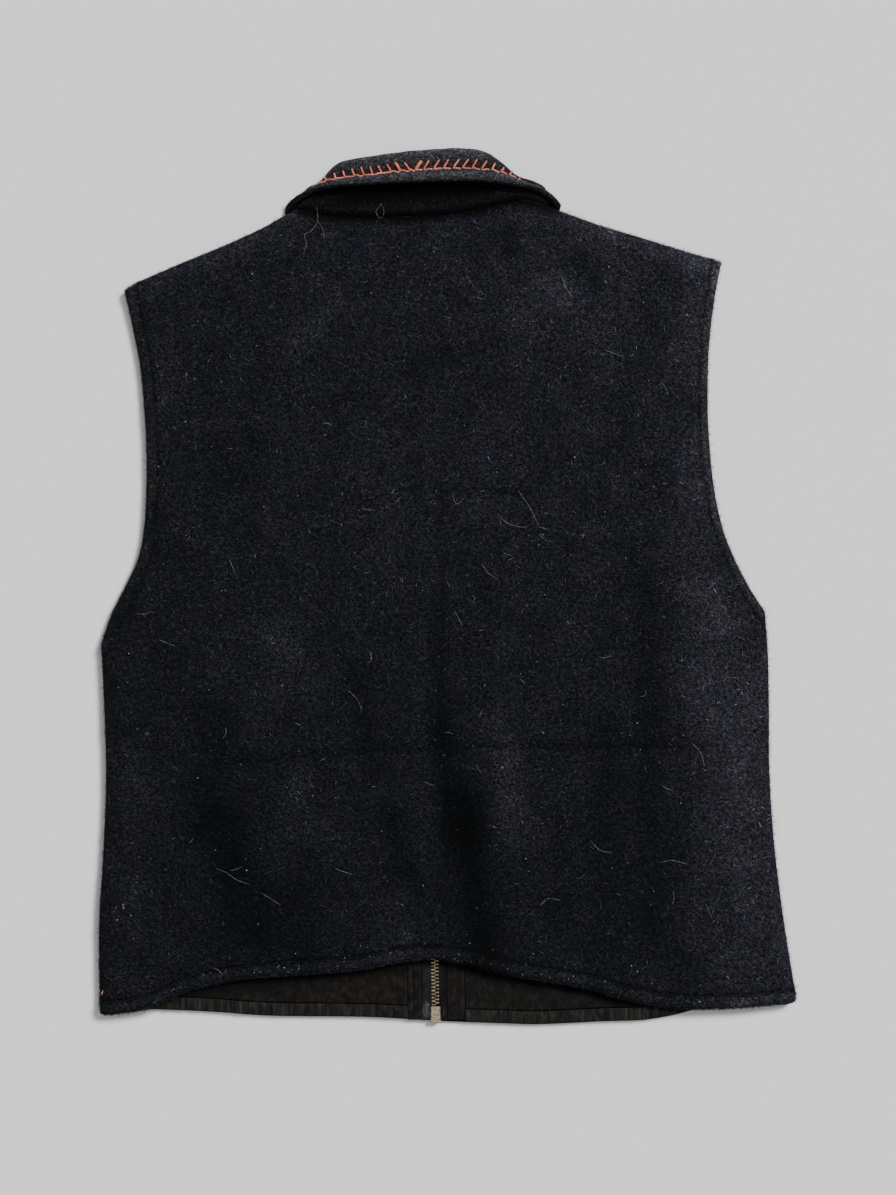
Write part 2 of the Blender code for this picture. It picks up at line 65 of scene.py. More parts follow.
# Lift of the cloth round the neck: its height, its half width and half length, and where it starts to fade
COLLAR_LIFT, LIFT_WIDE, LIFT_LONG, LIFT_START, LIFT_FADE = 4.4, 113.0, 77.0, 1.36, 1.1
FRONT_ARMHOLE_INSET, FRONT_SIDE_INSET, SHOULDER_DROP = 9.0, 1.2, 0.8
NECK_X, NECK_Y, NECK_HALF_WIDTH, NECK_DEPTH = -19.5, 312.6, 105.5, 76.5
ZIP_FOOT_X, ZIP_FOOT_Y, ZIP_HEAD_X, ZIP_HEAD_Y, ZIP_CHANNEL = -9.9, -361.0, -19.5, 236.0, 5.0
BOX_HALF_WIDTH, BOX_HIGH_Y = 3.95, -347.9
FACING = {"left": 11.6, "right": 14.5}
TAPE_WIDTH = {"left": 11.0, "right": 9.6}
HEM_BAND, SHIFT_X = 10.0, -0.36
# Each row of stitching's distance from its edge, a stitch's length with its gap, and how deep it sinks in
HEM_STITCH, ARM_STITCH, STITCH_PITCH, STITCH_SUNK = 10.0, 8.3, 3.0, 0.06

SIDE_LEFT = [(-288.4, -354.0), (-289.3, -284.0), (-285.9, -222.0), (-283.5, -160.0), (-285.1, -97.5),
             (-287.6, -47.7)]
ARM_LEFT = [(-287.6, -47.7), (-279.3, -22.8), (-266.8, 2.1), (-256.0, 27.0), (-250.8, 64.0), (-250.3, 120.0),
            (-254.4, 176.4), (-261.0, 213.7), (-268.5, 246.9)]
SHOULDER_LEFT = [(-268.5, 246.9), (-255.2, 254.4), (-222.0, 268.5), (-188.8, 281.8), (-155.6, 296.7),
                 (-139.0, 305.9), (-125.0, 312.6)]
NECK_BACK = [(-125.0, 312.6), (-94.2, 307.5), (-64.3, 307.1), (-29.5, 306.7), (2.1, 310.0), (26.1, 314.2),
             (59.3, 320.4), (86.0, 314.0)]
SHOULDER_RIGHT = [(86.0, 314.0), (99.0, 309.8), (126.6, 300.0), (159.8, 290.1), (193.0, 280.1),
                  (227.2, 270.2)]
ARM_RIGHT = [(263.5, -20.3), (249.4, 2.1), (237.0, 27.0), (227.8, 51.9), (220.4, 89.2), (216.2, 145.0),
             (217.2, 200.0), (221.6, 238.6), (227.2, 270.2)]
SIDE_RIGHT = [(290.1, -343.4), (284.3, -309.2), (276.8, -259.4), (270.5, -205.0), (267.2, -150.0),
              (266.9, -97.5), (266.0, -55.0), (263.5, -20.3)]
HEM_BACK = [(-288.4, -354.0), (-262.0, -351.4), (-243.5, -347.4), (-226.0, -339.0), (-209.6, -331.8),
            (-173.1, -324.4), (-141.5, -321.1), (-99.2, -318.6), (-67.6, -315.2), (-40.3, -309.6),
            (-10.4, -307.2), (20.3, -312.8), (41.9, -318.6), (79.3, -325.2), (118.3, -331.8),
            (146.5, -340.6), (194.6, -348.6), (242.8, -348.0), (290.1, -343.4)]
HEM = {
    "left": [(-286.5, -349.5), (-255.2, -350.5), (-222.0, -351.5), (-188.8, -353.2), (-155.6, -355.7),
             (-122.4, -356.5), (-89.2, -356.7), (-56.0, -357.5), (-14.9, -360.0)],
    "right": [(288.0, -339.5), (242.8, -346.2), (209.6, -350.0), (193.0, -354.4), (176.4, -357.6),
              (159.8, -359.8), (126.6, -360.8), (76.8, -363.1), (43.6, -362.3), (-4.9, -360.6)]}
# Folds: start x, y, end x, y, half width, height
FOLDS = [
    (6, 110, 12, -300, 17, -1.5), (-38, 60, -42, -290, 34, 0.9), (62, 30, 66, -260, 36, 0.8),
    (-150, -60, -168, -300, 30, -0.9), (-215, 60, -225, -280, 34, 0.8), (150, 40, 158, -290, 32, -0.8),
    (212, 90, 226, -280, 28, 0.9), (-214, -149, -6, -131, 9, -1.3), (-6, -131, 226, -132, 9, -1.3),
    (-64, 81, 93, 78, 10, -0.9), (60, 288, 132, 215, 15, 1.0), (30, 285, 60, 196, 15, 0.8),
    (-190, 240, -120, 120, 34, 0.7), (-190, -330, 160, -335, 34, 1.6)]
# Collar: seam x, y, z, fold x, y, z, fold radius, edge x, y, z, way it faces in degrees
COLLAR_BACK = [
    (-123.2, 309.5, 6.1, -115.0, 324.5, 4.7, 2.2, -133.6, 310.7, 1.95, -158),
    (-122.6, 314.4, 7.6, -114.2, 327.3, 7.6, 2.9, -130.0, 318.2, 4.8, -90),
    (-112.0, 311.9, 9.6, -103.8, 332.0, 11.0, 3.3, -117.3, 325.6, 11.5, -58),
    (-94.0, 308.6, 10.5, -89.2, 346.2, 12.5, 3.5, -100.6, 331.3, 15.5, -30),
    (-62.0, 308.1, 10.8, -57.0, 352.6, 13.2, 3.6, -62.0, 334.6, 18.6, -8),
    (-6.0, 310.1, 10.8, -6.0, 357.6, 13.5, 3.6, -6.0, 336.8, 19.2, 0),
    (27.0, 315.4, 10.8, 30.0, 355.4, 13.4, 3.6, 31.0, 336.7, 18.6, 8),
    (59.5, 321.6, 10.5, 56.0, 336.8, 12.6, 3.4, 66.0, 331.3, 15.5, 38),
    (73.0, 319.6, 9.4, 69.0, 332.2, 11.0, 3.2, 80.6, 326.2, 11.5, 62),
    (82.8, 316.0, 7.6, 77.3, 328.4, 7.6, 2.9, 91.3, 317.8, 4.8, 90),
    (84.2, 310.5, 6.1, 76.0, 324.5, 4.7, 2.2, 91.5, 312.8, 1.95, 158)]


# Shapes
def smooth(t):
    """0 up to 0 and 1 from 1, with a soft step between."""
    t = np.clip(t, 0.0, 1.0)
    return t * t * (3.0 - 2.0 * t)


def mix(a, b, t):
    return a + (b - a) * t


def unit(a):
    return a / np.maximum(np.linalg.norm(a, axis=-1, keepdims=True), 1e-9)


def bell(off, place, width):
    """1 at a place, falling softly to 0 over a width on both sides."""
    return np.exp(-((off - place) / width) ** 2)


def arch(t):
    """0 at both ends of the way from 0 to 1, and 1 in its middle."""
    return np.sin(np.clip(t, 0, 1) * math.pi)


def run_along(points):
    """Distance of each point in a row from the first, along the row."""
    return np.concatenate([[0.0], np.cumsum(np.linalg.norm(np.diff(points, axis=0), axis=1))])


def metres(points):
    """Points in millimetres, brought to the part's place in metres."""
    return (np.asarray(points, float) + np.array([SHIFT_X, 0, 0])) * MM


def spline(rows, position):
    """Every column of a table at positions along its rows."""
    rows = np.asarray(rows, float)
    position = np.atleast_1d(np.asarray(position, float))
    last = len(rows) - 1
    i = np.clip(position.astype(int), 0, last - 1)
    t = (position - i)[:, None]
    a, b, c, d = (rows[np.clip(i + k, 0, last)] for k in (-1, 0, 1, 2))
    return 0.5 * (2 * b + (c - a) * t + (2 * a - 5 * b + 4 * c - d) * t ** 2
                  + (3 * b - a - 3 * c + d) * t ** 3)


class Line:
    """A smooth curve through a short row of points."""

    def __init__(self, points):
        steps = (len(points) - 1) * POINTS_PER_SPAN
        self.points = spline(points, np.arange(steps + 1) / POINTS_PER_SPAN)
        self.lengths = run_along(self.points)

    def at(self, share):
        want = np.clip(share, 0, 1) * self.lengths[-1]
        return np.stack([np.interp(want, self.lengths, self.points[:, k]) for k in (0, 1)], -1)

    def distance(self, x, y):
        best = np.full(np.shape(x), 1e9)
        for a, b in zip(self.points[:-1], self.points[1:]):
            run = b - a
            t = np.clip(((x - a[0]) * run[0] + (y - a[1]) * run[1]) / max(run @ run, 1e-9), 0, 1)
            best = np.minimum(best, np.hypot(x - a[0] - run[0] * t, y - a[1] - run[1] * t))
        return best


def chain(*parts):
    """One line made of several, each with its share of the whole."""
    def at(t):
        t = np.atleast_1d(np.asarray(t, float))
        out = np.zeros((len(t), 2))
        start = 0.0
        for line, share in parts:
            inside = (t >= start - 1e-9) & (t <= start + share + 1e-9)
            out[inside] = line.at((t[inside] - start) / share)
            start += share
        return out
    return at


def patch(bottom, top, left, right):
    """Grid of points filled in between four edges, for columns u and rows v."""
    def at(u, v):
        across, up = u[None, :, None], v[:, None, None]
        ends = np.array([0.0, 1.0])
        corner = [*bottom(ends), *top(ends)]
        rows = bottom(u)[None] * (1 - up) + top(u)[None] * up
        columns = left(v)[:, None] * (1 - across) + right(v)[:, None] * across
        return (rows + columns - corner[0] * (1 - across) * (1 - up) - corner[1] * across * (1 - up)
                - corner[2] * (1 - across) * up - corner[3] * across * up)
    return at


def marks(length, coarse, start=(), end=(), keep=()):
    """Positions from 0 to 1 with finer steps, in millimetres, at the start and the end."""
    first, last = (start[-1] if start else 0.0), (end[-1] if end else 0.0)
    count = max(1, round((length - first - last) / coarse))
    out = [0.0] + [s / length for s in start]
    out += list((first + (length - first - last) * np.arange(1, count) / count) / length)
    out += [1 - e / length for e in reversed(end)] + [1.0]
    out = np.array(out)
    for value in keep:
        out[np.argmin(abs(out - value))] = value
    return out


side_left, side_right = Line(SIDE_LEFT), Line(SIDE_RIGHT)
arm_left, arm_right = Line(ARM_LEFT), Line(ARM_RIGHT)
shoulder_left, shoulder_right = Line(SHOULDER_LEFT), Line(SHOULDER_RIGHT)
neck_back, hem_back = Line(NECK_BACK), Line(HEM_BACK)


def neck_lift(x, y):
    """How far the cloth is lifted round the neck, by what lies under it."""
    reach = np.hypot((x - NECK_X) / LIFT_WIDE, (y - NECK_Y) / LIFT_LONG)
    return COLLAR_LIFT * (1 - smooth((reach - LIFT_START) / LIFT_FADE))


def ridges(rows, x, y, soft=0.18):
    """Sum of long soft ridges: start x, y, end x, y, half width, height, below 0 for a valley."""
    total = np.zeros(np.shape(x))
    for x0, y0, x1, y1, width, height in rows:
        run_x, run_y = x1 - x0, y1 - y0
        t = np.clip(((x - x0) * run_x + (y - y0) * run_y) / (run_x * run_x + run_y * run_y), 0, 1)
        off = np.hypot(x - x0 - run_x * t, y - y0 - run_y * t)
        total += height * smooth(t / soft) * smooth((1 - t) / soft) * bell(off, 0, width)
    return total


def waves(x, y, size, seed):
    """Slow uneven swells, about -1 to 1, with a wavelength of about the size."""
    pick = np.random.default_rng(seed)
    total = np.zeros(np.shape(x))
    for _ in range(9):
        a, f, p = pick.uniform(0, 2 * math.pi), pick.uniform(0.6, 1.5) / size, pick.uniform(0, 2 * math.pi)
        total += np.sin(2 * math.pi * f * (x * math.cos(a) + y * math.sin(a)) + p)
    return total / 4.0


def zip_x(y):
    """Middle of the zip, which runs a little aslant."""
    return mix(ZIP_FOOT_X, ZIP_HEAD_X, (y - ZIP_FOOT_Y) / (ZIP_HEAD_Y - ZIP_FOOT_Y))


def piece(name, verts, faces, material, uv=None, replaces=(), tone=None):
    """A mesh piece from points in millimetres."""
    mesh = bpy.data.meshes.new(name)
    mesh.from_pydata(metres(verts).tolist(), [], faces)
    mesh.update()
    if uv is not None:
        layer = mesh.uv_layers.new(name="cloth")
        index = np.zeros(len(mesh.loops), int)
        mesh.loops.foreach_get("vertex_index", index)
        layer.data.foreach_set("uv", np.asarray(uv, float)[index].ravel())
    if tone is None and uv is not None:
        tone = np.ones((len(verts), 3))
    if tone is not None:
        layer = mesh.color_attributes.new(name="tone", type="FLOAT_COLOR", domain="POINT")
        layer.data.foreach_set("color", np.concatenate([tone, np.ones((len(verts), 1))], 1).ravel())
    mesh.polygons.foreach_set("use_smooth", np.ones(len(mesh.polygons), bool))
    mesh.materials.append(material)
    thing = bpy.data.objects.new(name, mesh)
    bpy.context.scene.collection.objects.link(thing)
    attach(thing, "vest")
    if replaces:
        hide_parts(*replaces)
    return thing


def outward(thing):
    """Turn all faces of a closed piece outwards."""
    build = bmesh.new()
    build.from_mesh(thing.data)
    bmesh.ops.recalc_face_normals(build, faces=build.faces)
    build.to_mesh(thing.data)
    build.free()


def tinted(shade, hue):
    """Colour factors: a shade that leans from blue, at hue 0, to violet, at hue 1."""
    cool, warm = np.array([0.765, 0.97, 1.25]), np.array([1.035, 0.97, 1.23])
    return shade[..., None] * mix(cool, warm, np.clip(hue, 0, 1)[..., None])


def wall(name, grid, low, high, material, replaces, tone=None):
    """A closed sheet of cloth over a grid of points, with the heights of its two faces."""
    rows, cols = grid.shape[:2]
    size = rows * cols
    inner = grid[np.clip(np.arange(rows), 1, rows - 2)][:, np.clip(np.arange(cols), 1, cols - 2)]
    away = inner - grid
    far = np.linalg.norm(away, axis=2, keepdims=True)
    moved = grid + away / np.maximum(far, 1e-9) * np.minimum(EDGE_ROUND, 0.4 * far)
    top = np.concatenate([moved, high[..., None]], 2).reshape(-1, 3)
    under = np.concatenate([moved, low[..., None]], 2).reshape(-1, 3)
    edge = [(0, j) for j in range(cols)] + [(i, cols - 1) for i in range(1, rows)]
    edge += [(rows - 1, j) for j in range(cols - 2, -1, -1)] + [(i, 0) for i in range(rows - 2, 0, -1)]
    rim = [(*grid[i, j], 0.5 * (low[i, j] + high[i, j])) for i, j in edge]
    a = (np.arange(rows - 1)[:, None] * cols + np.arange(cols - 1)[None]).ravel()
    under_faces = np.stack([a, a + cols, a + cols + 1, a + 1], 1)
    top_faces = np.stack([a, a + 1, a + cols + 1, a + cols], 1) + size
    faces = under_faces.tolist() + top_faces.tolist()
    first = 2 * size
    for k, (i, j) in enumerate(edge):
        n = (k + 1) % len(edge)
        p, q = i * cols + j, edge[n][0] * cols + edge[n][1]
        faces.append((p, q, first + n, first + k))
        faces.append((size + p, first + k, first + n, size + q))
    verts = np.concatenate([under, top, np.array(rim)])
    if tone is not None:
        flat = tone.reshape(-1, 3)
        # The rim round the edge takes a darker painted shade than the top face
        tone = np.concatenate([np.ones_like(flat), flat, np.array([tone[i, j] for i, j in edge]) * 0.6])
    thing = piece(name, verts, faces, material, verts[:, :2] * MM, replaces, tone)
    outward(thing)
    return thing


# Finishes
def finish(name, rough, metal=0.0, sheen=0.0, sheen_rough=0.5, specular=0.5):
    """A new material with its plain numbers set."""
    material = bpy.data.materials.new(name)
    material.use_nodes = True
    shader = material.node_tree.nodes["Principled BSDF"]
    shader.inputs["Roughness"].default_value = rough
    shader.inputs["Metallic"].default_value = metal
    shader.inputs["Specular IOR Level"].default_value = specular
    shader.inputs["Sheen Weight"].default_value = sheen
    shader.inputs["Sheen Roughness"].default_value = sheen_rough
    return material, material.node_tree, shader


def add_node(tree, kind, links=None, **values):
    """A node with its settings and socket values, joined to the outputs that feed it."""
    node = tree.nodes.new(kind)
    for key, value in values.items():
        if hasattr(node, key):
            setattr(node, key, value)
        else:
            node.inputs[key.replace("_", " ")].default_value = value
    for key, source in (links or {}).items():
        tree.links.new(source, node.inputs[key])
    return node


def ramp(tree, source, stops):
    """Colours along the values of a source."""
    node = tree.nodes.new("ShaderNodeValToRGB")
    while len(node.color_ramp.elements) > 1:
        node.color_ramp.elements.remove(node.color_ramp.elements[-1])
    node.color_ramp.elements[0].position = stops[0][0]
    node.color_ramp.elements[0].color = (*stops[0][1], 1)
    for place, colour in stops[1:]:
        node.color_ramp.elements.new(place).color = (*colour, 1)
    tree.links.new(source, node.inputs[0])
    return node.outputs[0]


def blend(tree, factor, one, two, mode="MIX"):
    """Two colours mixed or multiplied."""
    node = tree.nodes.new("ShaderNodeMix")
    node.data_type = "RGBA"
    node.blend_type = mode
    for socket, value in ((node.inputs[0], factor), (node.inputs[6], one), (node.inputs[7], two)):
        if isinstance(value, (int, float)):
            socket.default_value = value
        elif isinstance(value, tuple):
            socket.default_value = (*value, 1)
        else:
            tree.links.new(value, socket)
    return node.outputs[2]


def noise(tree, place, scale, detail, rough=0.5, swirl=0.0):
    return add_node(tree, "ShaderNodeTexNoise", {"Vector": place}, Scale=scale, Detail=detail,
                    Roughness=rough, Distortion=swirl)


def relief(tree, height, strength, depth, under=None):
    """Fine relief in a finish, on top of another where one is named."""
    links = {"Height": height}
    if under is not None:
        links["Normal"] = under
    return add_node(tree, "ShaderNodeBump", links, Strength=strength, Distance=depth).outputs[0]


def cloth_place(tree):
    return add_node(tree, "ShaderNodeUVMap", uv_map="cloth").outputs[0]


def object_place(tree):
    return add_node(tree, "ShaderNodeTexCoord").outputs["Object"]


def painted_tone(tree):
    """Colour factors kept on the points of the piece."""
    return add_node(tree, "ShaderNodeAttribute", attribute_name="tone").outputs["Color"]


def strands(tree, place, turn, long, fine, swirl):
    """Noise drawn out into short strands along one direction."""
    mapping = add_node(tree, "ShaderNodeMapping", {"Vector": place}, vector_type="TEXTURE")
    mapping.inputs["Rotation"].default_value = (0, 0, turn)
    mapping.inputs["Scale"].default_value = (1.0, 1.0 / long, 1.0)
    return noise(tree, mapping.outputs[0], fine, 3.0, 0.65, swirl)


def wool_finish(name, dark, mid, light):
    """Thick wool cloth: matted strands, a fine grain and a brushed surface."""
    material, tree, shader = finish(name, 0.95, sheen=0.05, sheen_rough=0.4, specular=0.08)
    place, tone = cloth_place(tree), painted_tone(tree)
    one = strands(tree, place, 1.95, 0.36, 950.0, 0.9)
    two = strands(tree, place, 0.85, 0.40, 820.0, 0.9)
    tufts = noise(tree, place, 300.0, 3.0, 0.6)
    most = tree.nodes.new("ShaderNodeMath")
    most.operation = "MAXIMUM"
    tree.links.new(one.outputs["Fac"], most.inputs[0])
    tree.links.new(two.outputs["Fac"], most.inputs[1])
    colour = ramp(tree, most.outputs[0], [(0.43, dark), (0.56, mid), (0.68, light)])
    shade = ramp(tree, tufts.outputs["Fac"], [(0.36, (0.72, 0.72, 0.74)), (0.64, (1.30, 1.29, 1.28))])
    colour = blend(tree, 1.0, colour, shade, "MULTIPLY")
    colour = blend(tree, 1.0, colour, tone, "MULTIPLY")
    tree.links.new(colour, shader.inputs["Base Color"])
    lumps = relief(tree, tufts.outputs["Fac"], 0.8, 0.0016)
    tree.links.new(relief(tree, most.outputs[0], 0.9, 0.0007, lumps), shader.inputs["Normal"])
    return material


def cotton_finish(name, dark, light, worn, thread=620.0, drawn=0.3):
    """Thin woven cotton with paler worn patches."""
    material, tree, shader = finish(name, 0.88, sheen=0.03, specular=0.12)
    place, tone = cloth_place(tree), painted_tone(tree)
    weft, warp = (add_node(tree, "ShaderNodeTexWave", {"Vector": place}, Scale=thread, Distortion=1.5,
                           Detail=1.0, bands_direction=way) for way in "XY")
    weave = blend(tree, 0.5, weft.outputs["Color"], warp.outputs["Color"])
    wear = strands(tree, place, 0.0, drawn, 210.0, 0.6)
    colour = ramp(tree, wear.outputs["Fac"], [(0.34, dark), (0.54, light), (0.72, worn)])
    tint = ramp(tree, weave, [(0.2, (0.68, 0.68, 0.68)), (0.8, (1.3, 1.3, 1.3))])
    colour = blend(tree, 1.0, blend(tree, 1.0, colour, tint, "MULTIPLY"), tone, "MULTIPLY")
    tree.links.new(colour, shader.inputs["Base Color"])
    threads = relief(tree, weave, 0.4, 0.0003)
    tree.links.new(relief(tree, wear.outputs["Fac"], 0.5, 0.0012, threads), shader.inputs["Normal"])
    return material


def fibre_finish(name):
    """Loose fibres, each with its own shade."""
    material, tree, shader = finish(name, 0.9, specular=0.1)
    grain = noise(tree, object_place(tree), 900.0, 2.0)
    shade = ramp(tree, grain.outputs["Fac"], [(0.35, (0.6, 0.6, 0.6)), (0.65, (1.4, 1.4, 1.4))])
    tree.links.new(blend(tree, 1.0, painted_tone(tree), shade, "MULTIPLY"), shader.inputs["Base Color"])
    return material


def yarn_finish(name, dark, light, scale=1500.0):
    """Twisted yarn with paler and deeper fibres."""
    material, tree, shader = finish(name, 0.8, sheen=0.15, specular=0.15)
    place = object_place(tree)
    grain, blotch = noise(tree, place, scale, 4.0, 0.7), noise(tree, place, 160.0, 2.0)
    colour = ramp(tree, grain.outputs["Fac"], [(0.36, dark), (0.66, light)])
    shade = ramp(tree, blotch.outputs["Fac"], [(0.35, (0.75, 0.7, 0.7)), (0.65, (1.2, 1.2, 1.2))])
    tree.links.new(blend(tree, 1.0, colour, shade, "MULTIPLY"), shader.inputs["Base Color"])
    tree.links.new(relief(tree, grain.outputs["Fac"], 0.6, 0.0003), shader.inputs["Normal"])
    return material


def brass_finish(name, dull, bright, rough):
    """Aged brass, rubbed bright in places and dull in others."""
    material, tree, shader = finish(name, rough, metal=0.85, specular=0.5)
    place = object_place(tree)
    wear, scratch = noise(tree, place, 520.0, 5.0, 0.65), noise(tree, place, 2400.0, 2.0)
    colour = ramp(tree, wear.outputs["Fac"], [(0.36, dull), (0.58, bright)])
    tree.links.new(colour, shader.inputs["Base Color"])
    gloss = ramp(tree, wear.outputs["Fac"], [(0.35, (rough + 0.2,) * 3), (0.65, (rough - 0.08,) * 3)])
    tree.links.new(gloss, shader.inputs["Roughness"])
    tree.links.new(relief(tree, scratch.outputs["Fac"], 0.3, 0.0002), shader.inputs["Normal"])
    return material


wool = wool_finish("black wool", (0.0007, 0.0008, 0.0009), (0.0042, 0.0044, 0.0047), (0.021, 0.0215, 0.0225))
cotton = cotton_finish("grey brown cotton", (0.0027, 0.0024, 0.0022), (0.0066, 0.0058, 0.0053),
                       (0.0140, 0.0124, 0.0113), drawn=0.75)
band_cotton = cotton_finish("hem band cotton", (0.0050, 0.0046, 0.0041), (0.0138, 0.0128, 0.0114),
                            (0.028, 0.0262, 0.0236))
tape_weave = cotton_finish("zip tape weave", (0.0035, 0.0033, 0.0035), (0.0085, 0.0082, 0.0084),
                           (0.019, 0.019, 0.019), thread=900.0)
nap_fibre = fibre_finish("wool fibres")
pale_hair = yarn_finish("pale hairs", (0.14, 0.14, 0.14), (0.44, 0.44, 0.43))
orange_yarn = yarn_finish("orange wool yarn", (0.37, 0.038, 0.015), (0.93, 0.33, 0.205))
black_thread = yarn_finish("black thread", (0.0008, 0.0008, 0.0010), (0.006, 0.006, 0.0065), 2500.0)
brass = brass_finish("worn brass", (0.20, 0.155, 0.095), (0.50, 0.41, 0.27), 0.40)
teeth_brass = brass_finish("teeth brass", (0.06, 0.043, 0.024), (0.56, 0.455, 0.30), 0.32)


# The back
# Room under the loose back, and how much more it has over the fronts' throat, with its place and reach
ROOM, THROAT_RISE, THROAT_Y, THROAT_REACH = 1.6, 1.4, 232.0, 80.0


def back_low(x, y):
    """Height of the back's underside, from its edges up to the fronts and linings that it lies on."""
    seams = (side_left, side_right, shoulder_left, shoulder_right)
    seam = np.minimum.reduce([line.distance(x, y) for line in seams])
    arm = np.minimum(arm_left.distance(x, y), arm_right.distance(x, y))
    edge = mix(SIDE_LOW, ARMHOLE_LOW, smooth((seam - arm) / 20.0))
    near = np.minimum(seam, arm)
    roll = np.sin(np.minimum(1.0, near / EDGE_ROLL) * math.pi / 2)
    throat = THROAT_RISE * (1 - smooth(np.hypot(x - NECK_X, y - THROAT_Y) / THROAT_REACH))
    loose = ROOM + ridges(FOLDS, x, y) + throat
    inside = REST + np.maximum(0.25, mix(0.35, loose, smooth(near / 45.0)))
    return mix(edge, inside, roll) + neck_lift(x, y) * 1.06


def round_corner(grid, i, j, radius):
    """Round one corner of a grid of plan points."""
    corner = grid[i, j].copy()
    ways = [unit(grid[i, 1 if j == 0 else -2] - corner), unit(grid[1 if i == 0 else -2, j] - corner)]
    u = np.clip(1 - np.linalg.norm(grid[i] - corner, axis=1) / radius, 0, 1)[None]
    v = np.clip(1 - np.linalg.norm(grid[:, j] - corner, axis=1) / radius, 0, 1)[:, None]
    pull = (1 - np.maximum(u, v) / np.maximum(np.hypot(u, v), 1e-9)) * (u > 0) * (v > 0) * radius
    grid += (u * pull)[..., None] * ways[0] + (v * pull)[..., None] * ways[1]


EDGE_STEPS = (1.2, 2.6, 4.2, 5.8, 7.2, 8.4, 9.4, 10.4, 11.6, 13.2, 15.4, 18.0)
BACK_WIDE, BACK_TALL, BACK_STEP = 578.0, 668.0, 3.9
# Where the neck starts and ends along the upper edge, how much it rises, and where the armholes start
NECK_SHARES, NECK_RISE, SIDE_SHARE = (0.27, 0.67), 0.9, 0.5
# Row, column and radius of the back's rounded corners
BACK_CORNERS = ((0, 0, 5.0), (0, -1, 6.5), (-1, 0, 3.5), (-1, -1, 2.8))
across = marks(BACK_WIDE, BACK_STEP, EDGE_STEPS, EDGE_STEPS, NECK_SHARES)
along = marks(BACK_TALL, BACK_STEP, EDGE_STEPS, (1.4, 3.4, 6.0), (SIDE_SHARE,))
top_edge = chain((shoulder_left, 0.27), (neck_back, 0.40), (shoulder_right, 0.33))
left_edge, right_edge = (chain((side, SIDE_SHARE), (arm, 1 - SIDE_SHARE))
                         for side, arm in ((side_left, arm_left), (side_right, arm_right)))
back_patch = patch(hem_back.at, top_edge, left_edge, right_edge)
grid = back_patch(across, along)
neck_columns = (across > NECK_SHARES[0] + 0.005) & (across < NECK_SHARES[1] - 0.005)
grid[-1, neck_columns, 1] += NECK_RISE
for i, j, radius in BACK_CORNERS:
    round_corner(grid, i, j, radius)
x, y = grid[..., 0], grid[..., 1]
hem_off, neck_off = hem_back.distance(x, y), neck_back.distance(x, y)
arm_off = np.minimum(arm_left.distance(x, y), arm_right.distance(x, y))
low = back_low(x, y)
# Creases that only the finished cloth shows, in the same columns as the folds
CREASES = [
    (-214, -149, -110, -139, 2.6, -0.55), (-120, -140, -6, -131, 2.6, -0.6),
    (-6, -131, 120, -131, 2.6, -0.55), (110, -131, 226, -133, 2.6, -0.4),
    (-7, 120, -5, -60, 2.8, -0.5), (-5, -40, -3, -306, 2.8, -0.75),
    (-64, 81, 40, 80, 2.6, -0.35), (-160, -141, -20, -124, 7, 0.5), (10, -124, 180, -124, 7, 0.45),
    (48, 296, 110, 236, 6, 0.6), (92, 296, 150, 214, 7, 0.55), (26, 300, 44, 232, 6, 0.45),
    (-96, 300, -150, 250, 9, 0.4), (-250, 210, -196, 160, 12, 0.4)]
detail = ridges(CREASES, x, y, 0.3) + 0.32 * waves(x, y, 70.0, 3) + 0.16 * waves(x, y, 26.0, 5)
detail += 0.09 * waves(x, y, 12.0, 8)
hem_puff = 0.7 * (1 - smooth((hem_off - 8.0) / 6.0)) + 0.7 * arch(hem_off / HEM_STITCH)
arm_puff = 0.4 * arch(arm_off / ARM_STITCH)
detail += -0.95 * bell(hem_off, HEM_STITCH, 1.3) - 0.75 * bell(arm_off, ARM_STITCH, 1.3) + arm_puff
detail += -2.5 * bell(neck_off, 0, 3.6)
# Strokes of painted shade, below 0, and painted light, for the folds and creases: start x, y, end x, y, half
# width, strength
FOLD_SHADE_STROKES = [
    (-10, 25, -6, -160, 8, -0.36), (-8, -90, 14, -230, 14, -0.55), (8, -150, 36, -352, 17, -0.85),
    (-199, -80, -190, -215, 19, -0.30), (-201, -165, -150, -318, 22, -0.62),
    (-130, -228, -114, -325, 18, -0.28), (-85, -44, -56, -168, 11, -0.30),
    (-56, -168, -19, -272, 10, -0.32), (162, 60, 172, -335, 13, -0.34),
    (128, -80, 136, -345, 19, -0.26), (93, -175, 95, -300, 14, -0.20), (-6, 203, -5, 178, 14, -0.30),
    (48, 301, 54, 268, 7, -0.45), (106, 280, 127, 239, 9, -0.35), (160, 259, 172, 214, 9, -0.20),
    (-180, 131, -185, 73, 22, -0.22), (234, 0, 262, -430, 34, 0.42), (206, 170, 204, -150, 17, 0.34),
    (208, 300, 208, 150, 22, 0.24), (206, -110, 214, -320, 16, 0.14), (83, 264, 93, 222, 17, 0.30),
    (25, 235, 175, 235, 48, 0.15), (30, 150, 28, 40, 22, 0.16), (-236, 250, -238, 50, 20, 0.16),
    (-50, 160, -46, -27, 16, 0.12), (39, -85, 60, -234, 15, 0.38), (-151, -10, -106, -102, 20, 0.22),
    (-168, -20, -152, -125, 22, 0.16), (-264, -90, -258, -400, 26, 0.22), (212, 12, 240, -42, 17, 0.32),
    (241, -60, 243, -270, 14, 0.11), (-50, -250, -44, -340, 20, 0.20),
    (-131, -150, -108, -225, 18, 0.26), (-81, 247, -143, 185, 10, 0.26), (-214, -149, -110, -139, 2.2, -0.38),
    (-120, -140, -6, -131, 2.2, -0.38), (-6, -131, 226, -132, 2.2, -0.45), (-64, 81, 93, 78, 2.4, -0.26),
    (-6, 120, -5, -126, 2.4, -0.3), (-4, -126, -3, -300, 2.4, -0.25)]
